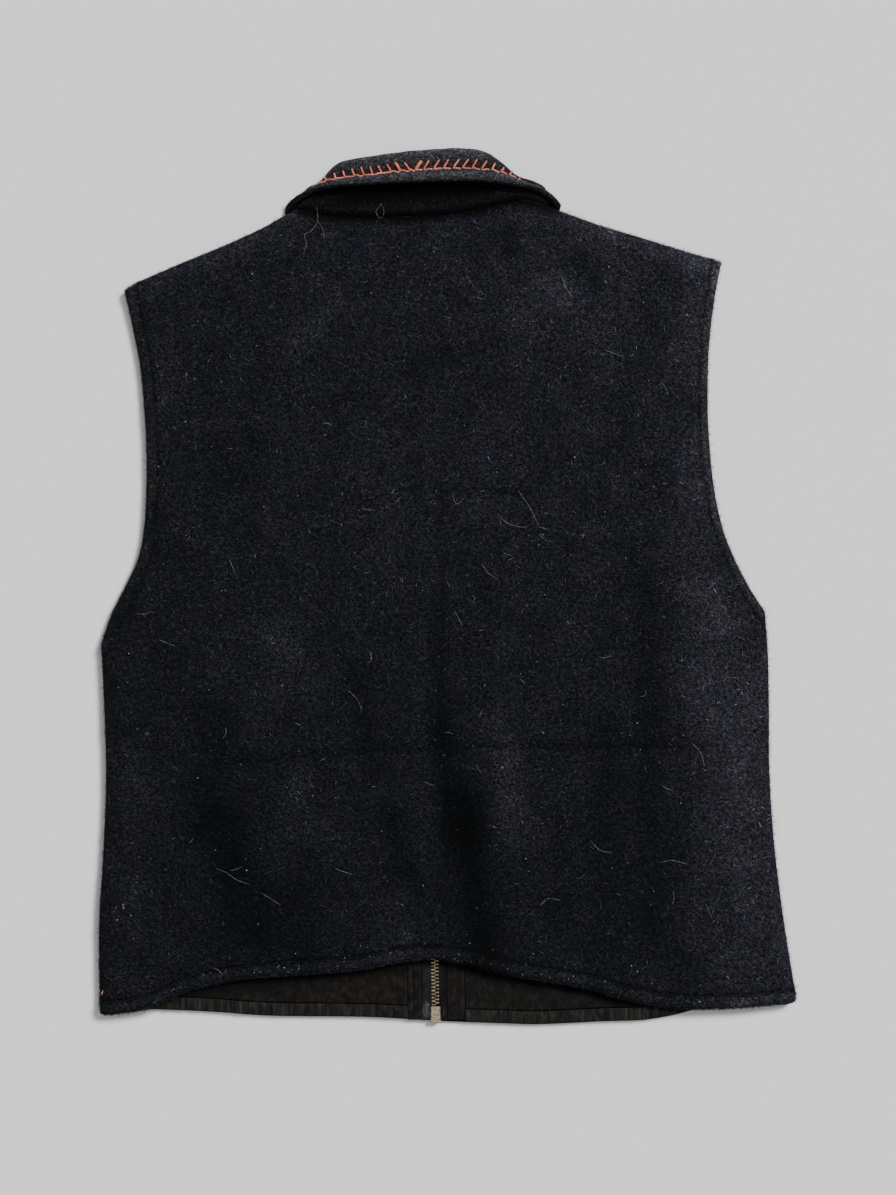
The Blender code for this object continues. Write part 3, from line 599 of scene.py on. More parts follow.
# Painted light and shade on the back: the fold strokes; lighter towards the right and the top, where the
# light falls; lighter shoulders and right edge, lit by it; darker grooves at the hem's and the armholes'
# stitching and at the neck seam. The hue leans to violet where the painted shade is lighter. The slow waves
# are uneven tone of the cloth, and the bands along the hem and the armholes are lighter.
shoulder_off = np.minimum(shoulder_left.distance(x, y), shoulder_right.distance(x, y))
right_off = np.minimum(side_right.distance(x, y), arm_right.distance(x, y))
shade = 1.5 * ridges(FOLD_SHADE_STROKES, x, y, 0.2) + 0.26 + 0.0005 * x + 0.00065 * y + 0.14 * waves(x, y, 48.0, 51)
shade = shade + 0.10 * waves(x, y, 19.0, 52) + 0.62 * bell(shoulder_off, 0, 13.0)
shade = shade + 0.32 * bell(right_off, 0, 9.0)
hue = 0.5 + 0.5 * shade + 0.34 * waves(x, y, 44.0, 53) + 0.12 * waves(x, y, 15.0, 54)
shade = shade - 1.3 * bell(hem_off, HEM_STITCH + 0.3, 1.5) + 0.36 * bell(hem_off, 5.4, 3.2)
shade = shade - 0.45 * bell(arm_off, ARM_STITCH, 1.4) + 0.34 * bell(arm_off, 3.0, 2.6)
shade = shade - 3.0 * bell(neck_off, 0, 4.4)
back_tone = tinted(np.exp(shade), hue)
back_tone[..., 2] *= 1 - 0.14 * bell(arm_off, 2.5, 3.0)
back_high = low + WOOL + hem_puff + detail
back = wall("back_cloth", grid, low, back_high, wool, ["back"], back_tone)
back_top = np.concatenate([grid, back_high[..., None]], 2)

# The fronts and what lies on them
# Small pleats of the linings, shown only by painted shade and light, in the same columns as the back's
# painted strokes
PLEAT_SHADES = [(-60, -322, -54, -350, 3.0, -0.25), (60, -333, 66, -351, 4.0, -0.3),
          (-138, -328, -150, -346, 4.0, -0.3), (104, -340, 100, -352, 5.0, 0.3)]
# Width of the shade that the back's hem throws on what lies below it
HEM_SHADE = 8.0
hem_order = np.argsort(hem_back.points[:, 0])


def hem_height(x):
    """Place of the back's hem over each x."""
    return np.interp(x, hem_back.points[hem_order, 0], hem_back.points[hem_order, 1])


def neckline(turn):
    """Point of the front's neck seam, from 0 degrees at the left to 180 at the right."""
    a = math.radians(turn)
    return (NECK_X - NECK_HALF_WIDTH * math.cos(a), NECK_Y - NECK_DEPTH * math.sin(a))


def front_patch(word):
    """Outline of one front, filled in, with the line of its armhole."""
    side = 1 if word == "left" else -1
    source = SIDE_LEFT if word == "left" else SIDE_RIGHT
    edge = [(x + FRONT_SIDE_INSET * side, y) for x, y in source]
    edge[0] = HEM[word][0]
    arm = []
    source = ARM_LEFT if word == "left" else ARM_RIGHT
    for k, (x, y) in enumerate(source):
        share = k / (len(source) - 1)
        full = float(smooth(share / 0.25) * smooth((1 - share) / 0.2))
        deep = mix(FRONT_SIDE_INSET, FRONT_ARMHOLE_INSET, full)
        arm.append((x + side * deep, y - (SHOULDER_DROP if k == len(source) - 1 else 0.0)))
    edge[-1] = arm[0]
    source = SHOULDER_LEFT if word == "left" else list(reversed(SHOULDER_RIGHT))
    shoulder = [(x + (FRONT_SIDE_INSET if k == 0 else 0.0) * side, y - SHOULDER_DROP)
                for k, (x, y) in enumerate(source)]
    turns = [8 + 78 * k / 8 if word == "left" else 172 - 78 * k / 8 for k in range(9)]
    top_x = zip_x(ZIP_HEAD_Y) - side * ZIP_CHANNEL
    neck = [shoulder[-1]] + [neckline(t) for t in turns] + [(top_x, NECK_Y - NECK_DEPTH)]
    foot = HEM[word][-1]
    centre = [foot, ((foot[0] + top_x) / 2, (foot[1] + ZIP_HEAD_Y) / 2), neck[-1]]
    arm_line = Line(arm)
    return (patch(Line(HEM[word]).at, chain((Line(shoulder), 0.4), (Line(neck), 0.6)),
                  chain((Line(edge), 0.5), (arm_line, 0.5)), Line(centre).at), arm_line)


def inset(area, low_u, high_u, low_v, high_v, u, v):
    """Grid inside a piece, a number of millimetres from each of its edges."""
    ends = np.array([0.0, 1.0])
    wide = np.linalg.norm(np.diff(area(ends, v), axis=1)[:, 0], axis=1)
    tall = np.linalg.norm(np.diff(area(u, ends), axis=0)[0], axis=1)
    out = np.zeros((len(v), len(u), 2))
    for i in range(len(v)):
        for j in range(len(u)):
            across_share = mix(low_u / wide[i], 1 - high_u / wide[i], u[j])
            up_share = mix(low_v / tall[j], 1 - high_v / tall[j], v[i])
            out[i, j] = area(np.array([across_share]), np.array([up_share]))[0, 0]
    return out


def zip_strip(ys, away):
    """Grid of points along the zip, at distances to the side of its middle."""
    xs = zip_x(ys)[:, None] + away
    return np.stack([xs, np.broadcast_to(ys[:, None], xs.shape)], -1)


FRONT_WIDE, FRONT_TALL, FRONT_STEP = 280.0, 610.0, 7.0
FRONT_STEPS, FRONT_END_STEPS = (1.4, 3.2, 5.2, 7.4, 8.6, 10.0, 12.5, 16.0), (2.0, 5.0)
# Heights over the hem of the band's points, and the band's points along the hem
BAND_RISE = np.array([1.0, 1.8, 3.0, 4.6, 6.4, 8.2, 9.6, 10.4, HEM_BAND + 1.0])
BAND_POINTS = 400
# Places along the facing, and shares of its width, with its row of stitching at one of them
FACING_YS = np.concatenate([np.arange(-359.0, -290.0, 2.0), np.arange(-288.0, 228.0, 12.0), [228.0]])
FACING_SHARES = np.array([0, 0.08, 0.16, 0.3, 0.42, 0.5, 0.58, 0.62, 0.66, 0.8, 0.92, 1.0])
FACING_STITCH = 0.62
for word in ("left", "right"):
    side = -1 if word == "left" else 1
    area, arm_line = front_patch(word)
    u = marks(FRONT_WIDE, FRONT_STEP, FRONT_STEPS, FRONT_END_STEPS, (0.4,))
    v = marks(FRONT_TALL, FRONT_STEP, FRONT_STEPS, FRONT_END_STEPS, (0.5,))
    grid = area(u, v)
    round_corner(grid, 0, 0, 4.0)
    round_corner(grid, -1, 0, 4.5)
    x, y = grid[..., 0], grid[..., 1]
    lift = neck_lift(x, y)
    off = np.minimum(Line(HEM[word]).distance(x, y) - 1.5, arm_line.distance(x, y))
    press = 0.5 * bell(off, ARM_STITCH, 1.4)
    front = wall("front_cloth_" + word, grid, lift + press, lift + WOOL, wool, ["front_" + word])
    facing_edge = TAPE_WIDTH[word] + SEAM_GAP + FACING[word] + SEAM_GAP
    # Lining, a little rumpled where it shows
    u = marks(250.0, 4.5, (), tuple(np.arange(1.4, 50.0, 1.4)))
    v = marks(600.0, 9.0, tuple(np.arange(1.8, 66.0, 1.8)))
    grid = inset(area, 8.0, facing_edge - ZIP_CHANNEL, HEM_BAND + 1.4, 8.0, u, v)
    first, last = grid[:, :1, 0], grid[:, -1:, 0]
    move = zip_x(grid[:, -1:, 1]) + side * facing_edge - last
    grid[..., 0] += move * smooth((grid[..., 0] - first) / (last - first))
    x, y = grid[..., 0], grid[..., 1]
    low = LINING_LOW + 0.06 + neck_lift(x, y) * 1.05
    rumple = 0.22 * waves(x, y, 34.0, 11) + 0.12 * waves(x * 2.2, y * 0.5, 16.0, 12)
    fold = smooth((-286.0 - y) / 20.0)
    to_hem = np.where(y < hem_height(x), hem_height(x) - y, 30.0)
    shade = 0.12 + 0.26 * waves(x, y * 0.8, 13.0, 37) + 0.12 * waves(x, y, 5.0, 38)
    # Painted shadow of the back's hem, and the painted shade of the pleats
    shade = shade - 1.9 * bell(to_hem, 0, HEM_SHADE) + ridges(PLEAT_SHADES, x, y, 0.15)
    brown = bell(x, -70.0, 45.0)[..., None]
    tone = np.exp(shade)[..., None] * mix(np.array([0.97, 1.0, 1.0]), np.array([1.20, 1.0, 0.92]), brown)
    lining = wall("lining_cloth_" + word, grid, low, low + LINING + rumple * fold, cotton,
                  ["lining_" + word], tone)
    # Gathered band along the front's hem, which puckers most at the left
    foot = Line(HEM[word])
    dense = foot.at(np.linspace(0, 1, 800))
    order = np.argsort(dense[:, 0])
    outer = foot.points[0][0] - side * 8.0
    inner = zip_x(foot.points[-1][1]) + side * facing_edge
    xs = np.linspace(outer, inner, BAND_POINTS)
    base = np.interp(xs, dense[order, 0], dense[order, 1])
    grid = np.stack([np.broadcast_to(xs, (len(BAND_RISE), len(xs))), base[None] + BAND_RISE[:, None]], -1)
    x, y = grid[..., 0], grid[..., 1]
    pucker = 0.8 * waves(x, y * 0.12, 3.0, 21 if word == "left" else 22) + 0.6 * waves(x, y * 0.2, 7.0, 23)
    # Painted shade and light on the puckers: darker in their hollows, deepest in the deepest ones, and
    # lighter on their ridges
    shade = np.exp(0.30 * pucker - 0.5 * np.clip(-pucker - 0.7, 0, 1) - 0.03)
    tone = shade[..., None] * np.array([1.0, 1.0, 0.97])
    strong = 0.26 + 0.30 * bell(x, -180.0, 70.0)
    high = LINING_LOW + LINING + 0.2 + 0.35 * arch(BAND_RISE / BAND_RISE[-1])[:, None] + strong * pucker
    band = wall("hem_band_cloth_" + word, grid, np.full(x.shape, LINING_LOW), high, band_cotton,
                ["hem_band_" + word], tone)
    # Facing strip beside the zip, with its row of stitching
    share = FACING_SHARES[None]
    grid = zip_strip(FACING_YS, side * (TAPE_WIDTH[word] + SEAM_GAP + FACING[word] * share))
    x, y = grid[..., 0], grid[..., 1]
    lift = neck_lift(x, y)
    shape = 0.3 * arch(share) - 0.6 * bell(share, FACING_STITCH, 0.05) + 0.12 * waves(x, y, 14.0, 31)
    # Painted shade and light along the stitching: a darker line on one side of its groove and a lighter one
    # on the other, a lighter seam ridge at the outer edge, and the painted shadow that the back's hem throws;
    # the slow waves are uneven tone, and the right facing is lighter.
    shade = 1.05 - 0.5 * bell(share, FACING_STITCH - 0.02, 0.04)
    shade = shade + 0.5 * bell(share, FACING_STITCH + 0.06, 0.04)
    shade = (shade + 0.45 * bell(share, 0.97, 0.06)) * np.exp(0.22 * waves(x, y, 13.0, 36))
    to_hem = np.clip(hem_height(x) - y, 0, 30)
    shade = shade * (1 - 0.88 * bell(to_hem, 0, HEM_SHADE)) * (1.25 if side > 0 else 1.1)
    tone = shade[..., None] * np.array([1.0, 0.97, 0.98])
    strip = wall("facing_cloth_" + word, grid, LINING_LOW + lift, LINING_LOW + lift + LINING + shape, cotton,
                 ["facing_" + word], tone)

# The collar
FRONT_TURNS = [85.0, 64, 44, 26, 13]


def collar_front(turn):
    """Row of the collar's front half, which lies under the back, in the columns of COLLAR_BACK."""
    a = math.radians(turn)
    left, down = math.cos(a), math.sin(a)
    side = 1 if turn > 90 else -1
    seam = (NECK_X - (NECK_HALF_WIDTH - 1.6) * left, NECK_Y - (NECK_DEPTH - 1.3) * down, 5.9)
    fold = (NECK_X - 94.5 * left, 327.0 - 55.0 * down, 3.9)
    edge = (NECK_X - 108.0 * left, 315.0 - 101.0 * down, 1.95)
    return (*seam, *fold, 2.0, *edge, side * 180)


table = [collar_front(turn) for turn in FRONT_TURNS] + COLLAR_BACK
table += [collar_front(180 - turn) for turn in reversed(FRONT_TURNS)]
STAND_HALF, FALL_HALF, EDGE_HALF = 1.5, 1.6, 2.3
STITCH_TALL = 8.2
# Shares of the stand from its seam upwards, points round the fold and steps down the fall
STAND_SHARES, FOLD_POINTS, FALL_STEPS = (0, 0.12, 0.3, 0.5, 0.7, 0.87), 9, 16
# Points of a section, from the seam: the stand's face ends, the fold, the fall and its free part start
STAND_END, FOLD_START, FALL_START, FALL_FREE = 8, 6, 9, 12
ROWS_PER_SPAN, END_POINTS, TURN = 11, 7, 10
# Turn of the collar and height of its blanket stitch over the fall's edge
STITCH_TURNS = (-90, -58, -30, -8, 0, 8, 38, 62, 90)
STITCH_HEIGHTS = (6.2, 4.8, 5.7, 6.3, 8.8, 8.2, 7.5, 7.0, 7.6)


def stitch_up(turn):
    """Distance of the blanket stitch from the fall's edge."""
    return float(np.interp(turn, STITCH_TURNS, STITCH_HEIGHTS))


def collar_section(row):
    """Middle line of the collar from neck seam over the fold to the fall's edge, with its half thickness."""
    seam, fold, edge = row[0:3].copy(), row[3:6], row[7:10]
    seam[:2] -= 0.8 * unit(fold[:2] - seam[:2])
    radius, turn = row[6], math.radians(row[TURN])
    out = np.array([math.sin(turn), 0, math.cos(turn)])
    up = fold - seam
    up = unit(up - out * (up @ out))
    inner, outer = fold - out * radius, fold + out * radius
    middle = [mix(seam, inner, t) for t in STAND_SHARES]
    middle += [fold - out * radius * math.cos(a) + up * radius * math.sin(a)
               for a in np.linspace(0, math.pi, FOLD_POINTS)]
    middle += [mix(outer, edge, t) for t in np.linspace(0, 1, FALL_STEPS + 1)[1:]]
    middle = np.array(middle)
    length = run_along(middle)
    left = length[-1] - length
    thin = mix(1.65, EDGE_HALF, float(smooth((edge[2] - 2.0) / 6.0)))
    half = np.full(len(middle), STAND_HALF)
    half[FALL_START:] = FALL_HALF
    free = np.arange(len(middle)) >= FALL_FREE
    half = np.where(free, mix(thin, FALL_HALF, smooth((left - 4.0) / 10.0)), half)
    up_by = stitch_up(row[TURN])
    puff = 0.45 * arch(left / up_by) - 0.6 * bell(left, up_by, 1.5)
    along = unit(np.gradient(middle, axis=0))
    normal = out[None] * (along @ up)[:, None] - up[None] * (along @ out)[:, None]
    normal = unit(normal - along * (normal * along).sum(1)[:, None])
    return middle, half, np.where(free, puff, 0.0), normal, left, along[-1]


ring_at = np.arange(0, (len(table) - 1) * ROWS_PER_SPAN + 1) / ROWS_PER_SPAN
collar_rows = spline(table, ring_at)
sections = [collar_section(row) for row in collar_rows]
verts, outer_face, stand_face = [], [], []
count = len(sections[0][0])
for k, (middle, half, puff, normal, left, tip) in enumerate(sections):
    lump = 0.28 * waves(middle[:, 0] + middle[:, 2] * 3, middle[:, 1] + middle[:, 2] * 2, 22.0, 41)
    lump = lump * smooth((middle[:, 2] - 5.0) / 4.0)
    fall = np.arange(count) > FOLD_START
    outside = middle + normal * (half + np.where(fall, 0, lump))[:, None]
    inside = middle - normal * (half + np.where(fall, puff + lump, 0))[:, None]
    thin = half[-1]
    round_end = [middle[-1] + normal[-1] * thin * math.cos(a) + tip * thin * math.sin(a)
                 for a in np.linspace(0, math.pi, END_POINTS)[1:-1]]
    ring = np.concatenate([outside, np.array(round_end), inside[::-1]])
    ring[:, 2] = np.maximum(ring[:, 2], 0.0)
    verts.append(ring)
    stand_face.append(outside[:STAND_END])
    outer_face.append((inside, left, -normal))
ring_size = len(verts[0])
faces = []
for r in range(len(verts) - 1):
    for k in range(ring_size):
        n = (k + 1) % ring_size
        a, b = r * ring_size, (r + 1) * ring_size
        faces.append((a + k, a + n, b + n, b + k))
faces.append(tuple(range(ring_size)))
faces.append(tuple((len(verts) - 1) * ring_size + k for k in range(ring_size)))
ring_run = run_along(np.array([section[0][count // 2] for section in sections]))
uv = []
for k, ring in enumerate(verts):
    run = run_along(ring)
    uv += [(ring_run[k] * MM, s * MM) for s in run]
# Painted light and shade on the collar: the stand darker at its seam and darkest up under the fall, in the
# fall's shadow, and the fall's underside dark; the fall's top much lighter where the light falls, lighter at
# its rolled edge and towards the fold, darker at and just above the stitch line, and darker towards the ends,
# which turn away from the light. The slow waves are uneven tone.
tone = []
for row, (middle, half, puff, normal, left, tip) in zip(collar_rows, sections):
    from_seam = left[0] - left
    up_by = stitch_up(row[TURN])
    stand = 0.08 - 2.5 * bell(from_seam, 0, 3.8) - 2.0 * smooth((from_seam - 9.0) / 5.0)
    stand = np.where(np.arange(count) < STAND_END, stand, -1.3)
    fall = 1.45 + 0.55 * bell(left, 4.5, 3.4) - 0.45 * bell(left, up_by, 1.8)
    fall = fall - 0.45 * bell(left, up_by + 3.8, 3.2) + 0.50 * smooth((left - 15.0) / 9.0)
    fall = fall - 0.7 * smooth((abs(row[TURN]) - 62.0) / 30.0)
    fall = fall + 0.10 * waves(middle[:, 0], middle[:, 1], 26.0, 61)
    fall = np.where(np.arange(count) < FOLD_START, 0.0, fall)
    near = tinted(np.exp(stand), 0.75 + 0.2 * waves(middle[:, 0], middle[:, 1], 40.0, 62))
    far = tinted(np.exp(fall), np.full(count, 0.8)) * np.array([0.99, 1.03, 0.88])
    edge = np.repeat(0.5 * (near[-1:] + far[-1:]), ring_size - 2 * count, 0)
    tone.append(np.concatenate([near, edge, far[::-1]]))
stand_tone = np.array(tone)[:, :STAND_END]
collar_tone = np.array(tone)[:, ::-1][:, :count]
collar = piece("collar_cloth", np.concatenate(verts), faces, wool, uv, ["collar"],
               np.concatenate(tone))
outward(collar)


# Yarns, stitches and hairs
def yarns(name, runs, thick, material, sides=0):
    """Yarns or hairs as closed tubes along rows of points, each with its row of thicknesses."""
    curve = bpy.data.curves.new(name, "CURVE")
    curve.dimensions = "3D"
    curve.bevel_depth = thick * MM / 2
    curve.bevel_resolution = sides
    curve.use_fill_caps = True
    for points, taper in runs:
        points = metres(points)
        line = curve.splines.new("POLY")
        line.points.add(len(points) - 1)
        line.points.foreach_set("co", np.concatenate([points, np.ones((len(points), 1))], 1).ravel())
        line.points.foreach_set("radius", np.broadcast_to(taper, len(points)).astype(float).copy())
    thing = bpy.data.objects.new(name, curve)
    bpy.context.scene.collection.objects.link(thing)
    curve.materials.append(material)
    bpy.ops.object.select_all(action="DESELECT")
    thing.select_set(True)
    bpy.context.view_layer.objects.active = thing
    bpy.ops.object.convert(target="MESH")
    thing = bpy.context.object
    thing.name = name
    thing.data.polygons.foreach_set("use_smooth", np.ones(len(thing.data.polygons), bool))
    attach(thing, "vest")
    return thing


def model(operator, **values):
    """A new primitive at the origin, alone in edit mode and selected all over."""
    bpy.ops.object.select_all(action="DESELECT")
    operator(location=(0, 0, 0), **values)
    bpy.ops.object.mode_set(mode="EDIT")
    bpy.ops.mesh.select_all(action="SELECT")
    return bpy.context.object


def pick_faces(thing, test):
    """Select only the faces that pass a test."""
    bpy.ops.mesh.select_mode(type="FACE")
    bpy.ops.mesh.select_all(action="DESELECT")
    build = bmesh.from_edit_mesh(thing.data)
    for face in build.faces:
        if test(face):
            face.select_set(True)
    bmesh.update_edit_mesh(thing.data)


def repeat(name, pattern, places, material):
    """Copies of one modelled piece, each moved to its place, joined in one."""
    bpy.ops.object.select_all(action="DESELECT")
    copies = []
    for place in places:
        copy = pattern.copy()
        copy.data = pattern.data.copy()
        copy.data.transform(place)
        bpy.context.scene.collection.objects.link(copy)
        copy.select_set(True)
        copies.append(copy)
    bpy.context.view_layer.objects.active = copies[0]
    bpy.ops.object.join()
    thing = bpy.context.object
    thing.name = name
    thing.data.materials.clear()
    thing.data.materials.append(material)
    bpy.data.objects.remove(pattern)
    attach(thing, "vest")
    return thing


def spot(x, y, z, turn=0.0, size=(1, 1, 1)):
    """Place of a copy, in millimetres."""
    return (Matrix.Translation(metres((x, y, z))) @ Matrix.Rotation(turn, 4, "Z")
            @ Matrix.Diagonal((*size, 1)))


def between(values, at, places):
    """Every column of a table of values, read off between their places."""
    return np.array([np.interp(at, places, column) for column in np.transpose(values)])


# Blanket stitch of orange yarn along the collar's fall
# Turn of the collar and how deep the yarn sinks in there
SUNK_TURNS = (-108, -94, -64, -53, 34, 48, 94, 108)
SUNK_DEPTHS = (0, 1.4, 1.4, 0.1, 0.1, 1.3, 1.4, 0)
# Turn of the collar and share of the full height that a stitch has there
TALL_TURNS = (-60, -36, -22, -12, -5, 4, 11, 18, 28, 60)
TALL_SHARES = (0.5, 0.76, 0.86, 0.95, 1, 1, 0.84, 0.64, 0.46, 0.35)
# Direction of a run of stitches, and its start and pitch
STITCH_RUNS = ((-1, -2.0, 7.8), (1, 1.8, 7.9))
# Place in the back of the neck where the two runs meet
MEET_X, MEET_Y = -29.0, 318.0
YARN_THICK, YARN_TWIST, YARN_LOW = 1.12, 4.2, 0.62
# Spread of the two plies in a stitch, in a second one beside it, and in the yarn along their foot
STITCH_PLY, SECOND_PLY, FOOT_PLY = 0.46, 0.40, 0.56
# Points in a stitch, length that stays free at the collar's ends, and shares of the height in a look-up
STITCH_POINTS, END_FREE, STITCH_LEVELS = 8, 10, (0.0, 0.25, 0.5, 0.75, 1.0)


def on_fall(more):
    """Points and outward directions along the collar, a distance above the stitch line."""
    points, normals = [], []
    for row, (outside, left, normal) in zip(collar_rows, outer_face):
        from_edge, up = left[FALL_START:][::-1], stitch_up(row[TURN]) + more
        way = between(normal[FALL_START:][::-1], up, from_edge)
        normals.append(way)
        sunk = np.interp(row[TURN], SUNK_TURNS, SUNK_DEPTHS)
        points.append(between(outside[FALL_START:][::-1], up, from_edge) - sunk * way)
    return np.array(points), unit(np.array(normals))


base_line = on_fall(0.0)[0]
run_at = run_along(base_line)
fall_rows = [on_fall(STITCH_TALL * t) for t in STITCH_LEVELS]


def fall_spot(run, share):
    """Point on the fall at a distance along the stitch line and a share of the stitch's height."""
    points = [between(rows[0], run, run_at) for rows in fall_rows]
    ways = [between(rows[1], run, run_at) for rows in fall_rows]
    return between(points, share, STITCH_LEVELS), unit(between(ways, share, STITCH_LEVELS))


def plies(sites, radius, phase):
    """Two plies twisted round points on the cloth, sunk in at both ends."""
    path, outs = (np.array(part) for part in zip(*sites))
    run = run_along(path)
    share = run / run[-1]
    rise = 0.62 * np.minimum(1, np.minimum(share, 1 - share) * 7) - 0.25
    rise = rise - 0.8 * bell(outs[:, 2], 0, 0.3)
    path = path + outs * rise[:, None]
    along = unit(np.gradient(path, axis=0))
    across = unit(np.cross(along, outs))
    both = []
    for k in (0, math.pi):
        a = phase + k + run * 2 * math.pi / YARN_TWIST
        ply = path + (across * np.cos(a)[:, None] + outs * np.sin(a)[:, None]) * radius * 0.62
        ply[:, 2] = np.maximum(ply[:, 2], YARN_LOW)
        both.append((ply, np.where((share < 0.02) | (share > 0.98), 0.6, 1.0)))
    return both


fine_run = np.arange(0, run_at[-1], 0.5)
top_points = between(base_line, fine_run, run_at).T
behind = top_points[:, 1] > MEET_Y
meet_run = fine_run[behind][np.argmin(abs(top_points[behind, 0] - MEET_X))]
stitch_pick = np.random.default_rng(17)
runs, stops = [], []
for way, start, pitch in STITCH_RUNS:
    at = meet_run + start
    while END_FREE < at < run_at[-1] - END_FREE:
        stops.append((at, way))
        at += way * (pitch + stitch_pick.uniform(-0.7, 0.7))
stops.sort()
shares = np.linspace(0, 1, STITCH_POINTS)
for k, (at, way) in enumerate(stops):
    corner = np.interp(at, run_at, collar_rows[:, TURN])
    tall = stitch_pick.uniform(0.86, 1.0) * np.interp(corner, TALL_TURNS, TALL_SHARES)
    lean = ((5.4 if way < 0 else 5.0) * way + stitch_pick.uniform(-0.8, 0.8)) * (0.5 + 0.5 * tall)
    sites = [fall_spot(at + lean * s, tall * s) for s in shares]
    runs += plies(sites, STITCH_PLY, stitch_pick.uniform(0, 6))
    # Now and then a second stitch beside the first
    if stitch_pick.random() < 0.16 and abs(corner) < 12:
        sites = [fall_spot(at + 0.9 + (lean + 0.3) * s, tall * 0.93 * s) for s in shares]
        runs += plies(sites, SECOND_PLY, 1.0)
    # Yarn along the foot of the stitches to the next one
    if k + 1 < len(stops):
        gap = 1.5 if way > 0 else -0.6
        begin, end = at - 0.4, stops[k + 1][0] - gap * stitch_pick.uniform(0.5, 1.1)
        bow = stitch_pick.uniform(-1.4, 1.4)
        shift = [0.5 * bow * math.sin(s * math.pi * 2) + stitch_pick.uniform(-0.12, 0.12) - 0.55 * s
                 for s in shares]
        sites = [fall_spot(mix(begin, end, s), 0.0) for s in shares]
        sites = [(point + np.array([0, d, 0]), out) for (point, out), d in zip(sites, shift)]
        runs += plies(sites, FOOT_PLY, stitch_pick.uniform(0, 6))
yarns("collar_embroidery", runs, YARN_THICK, orange_yarn, sides=1)

# Zip
# One tooth, in metres: size where it is clamped, bevel, and the two steps of its head
TOOTH_SIZE, TOOTH_BEVEL, TOOTH_REACH = (0.0021, 0.0014, 0.0021), 0.0003, (0.001, 0.00035)
TEETH_LOW_Y, TEETH_HIGH_Y, TEETH_PITCH, TOOTH_OFF = -346.4, 229.0, 2.9, 2.1
# Places along the tape, finer where it shows below the back's hem and round the box's edge
TAPE_YS = np.concatenate([[-359.5, -356.0, -352.0, BOX_HIGH_Y + 0.2, BOX_HIGH_Y + 0.6],
                          np.arange(-345.0, -296.0, 3.0), np.arange(-290.0, 222.0, 10.0), [229.6]])
TAPE_SHARES = np.array([0, 0.06, 0.12, 0.2, 0.35, 0.5, 0.65, 0.8, 0.92, 1.0])


def tooth(way):
    """One tooth clamped on the tape's edge, with its head towards the other row."""
    thing = model(bpy.ops.mesh.primitive_cube_add, size=1.0)
    bpy.ops.transform.resize(value=TOOTH_SIZE)
    bpy.ops.mesh.bevel(offset=TOOTH_BEVEL, segments=1, affect="EDGES")
    pick_faces(thing, lambda face: face.normal.x * way < -0.9)
    for reach in TOOTH_REACH:
        bpy.ops.mesh.extrude_region_move(TRANSFORM_OT_translate={"value": (-reach * way, 0, 0)})
    bpy.ops.transform.resize(value=(1, 0.6, 0.7))
    bpy.ops.mesh.normals_make_consistent(inside=False)
    bpy.ops.object.mode_set(mode="OBJECT")
    return thing


zip_turn = math.atan2(ZIP_FOOT_X - ZIP_HEAD_X, ZIP_HEAD_Y - ZIP_FOOT_Y)
for word, side in (("left", -1), ("right", 1)):
    places = []
    y = TEETH_LOW_Y + (0.0 if side < 0 else TEETH_PITCH / 2)
    while y < TEETH_HIGH_Y:
        z = LINING_LOW + TAPE / 2 + float(neck_lift(zip_x(y), y))
        places.append(spot(zip_x(y) + side * TOOTH_OFF, y, z, zip_turn))
        y += TEETH_PITCH
    repeat("zip_teeth_" + word, tooth(side), places, teeth_brass)
    # Woven tape with the beaded edge that the teeth hold
    notch = BOX_HALF_WIDTH + SEAM_GAP
    start = np.where(TAPE_YS < BOX_HIGH_Y + 0.4, notch, 0.2)[:, None]
    grid = zip_strip(TAPE_YS, side * mix(start, TAPE_WIDTH[word], TAPE_SHARES[None]))
    x, y = grid[..., 0], grid[..., 1]
    lift = neck_lift(x, y)
    bead = 0.35 * bell(TAPE_SHARES, 0.42, 0.06)[None] + 0.07 * waves(x, y, 9.0, 33)
    # The tapes are worn pale beside the box, the left one more
    worn = bell(y, -352.5, 5.0) * (1.0 if side < 0 else 0.6) * smooth(abs(x - zip_x(y)) - 4.4)
    shade = 1.0 + 7.0 * worn * np.clip(0.5 + 1.1 * waves(x, y, 3.0, 34), 0, 2)
    # Painted shade: the right tape much darker than the left, as it lies in shade, and both darker in the
    # shadow that the back's hem throws
    to_hem = np.clip(hem_height(x) - y, 0, 30)
    shade = shade * (1.5 if side < 0 else 0.6) * (1 - 0.9 * bell(to_hem, 0, HEM_SHADE))
    tone = shade[..., None] * np.array([1.0, 0.97, 0.95])
    strip = wall("zip_tape_cloth_" + word, grid, LINING_LOW + lift, LINING_LOW + lift + TAPE + bead,
                 tape_weave, ["zip_tape_" + word], tone)

for name in ("zip_box", "zip_slider", "zip_tab"):
    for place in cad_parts[name].material_slots:
        place.material = brass

# Topstitching, in metres
THREAD_RADIUS, STITCH_LONG, END_INSET, END_STEP = 0.00022, 0.0024, 0.00008, 0.00012


def stitch():
    """One machine stitch: a short round thread with stepped ends."""
    thing = model(bpy.ops.mesh.primitive_cylinder_add, vertices=6, radius=THREAD_RADIUS, depth=STITCH_LONG)
    bpy.ops.transform.rotate(value=math.pi / 2, orient_axis="Y", center_override=(0, 0, 0))
    pick_faces(thing, lambda face: abs(face.normal.x) > 0.9)
    bpy.ops.mesh.inset(thickness=END_INSET)
    bpy.ops.mesh.extrude_region_move(TRANSFORM_OT_translate={"value": (0, 0, -END_STEP)})
    bpy.ops.mesh.select_all(action="SELECT")
    bpy.ops.mesh.normals_make_consistent(inside=False)
    bpy.ops.object.mode_set(mode="OBJECT")
    bpy.ops.object.shade_smooth_by_angle(angle=1.2)
    return thing


# Height above the vest that a place on it is looked for from
LOOK_FROM = 60.0


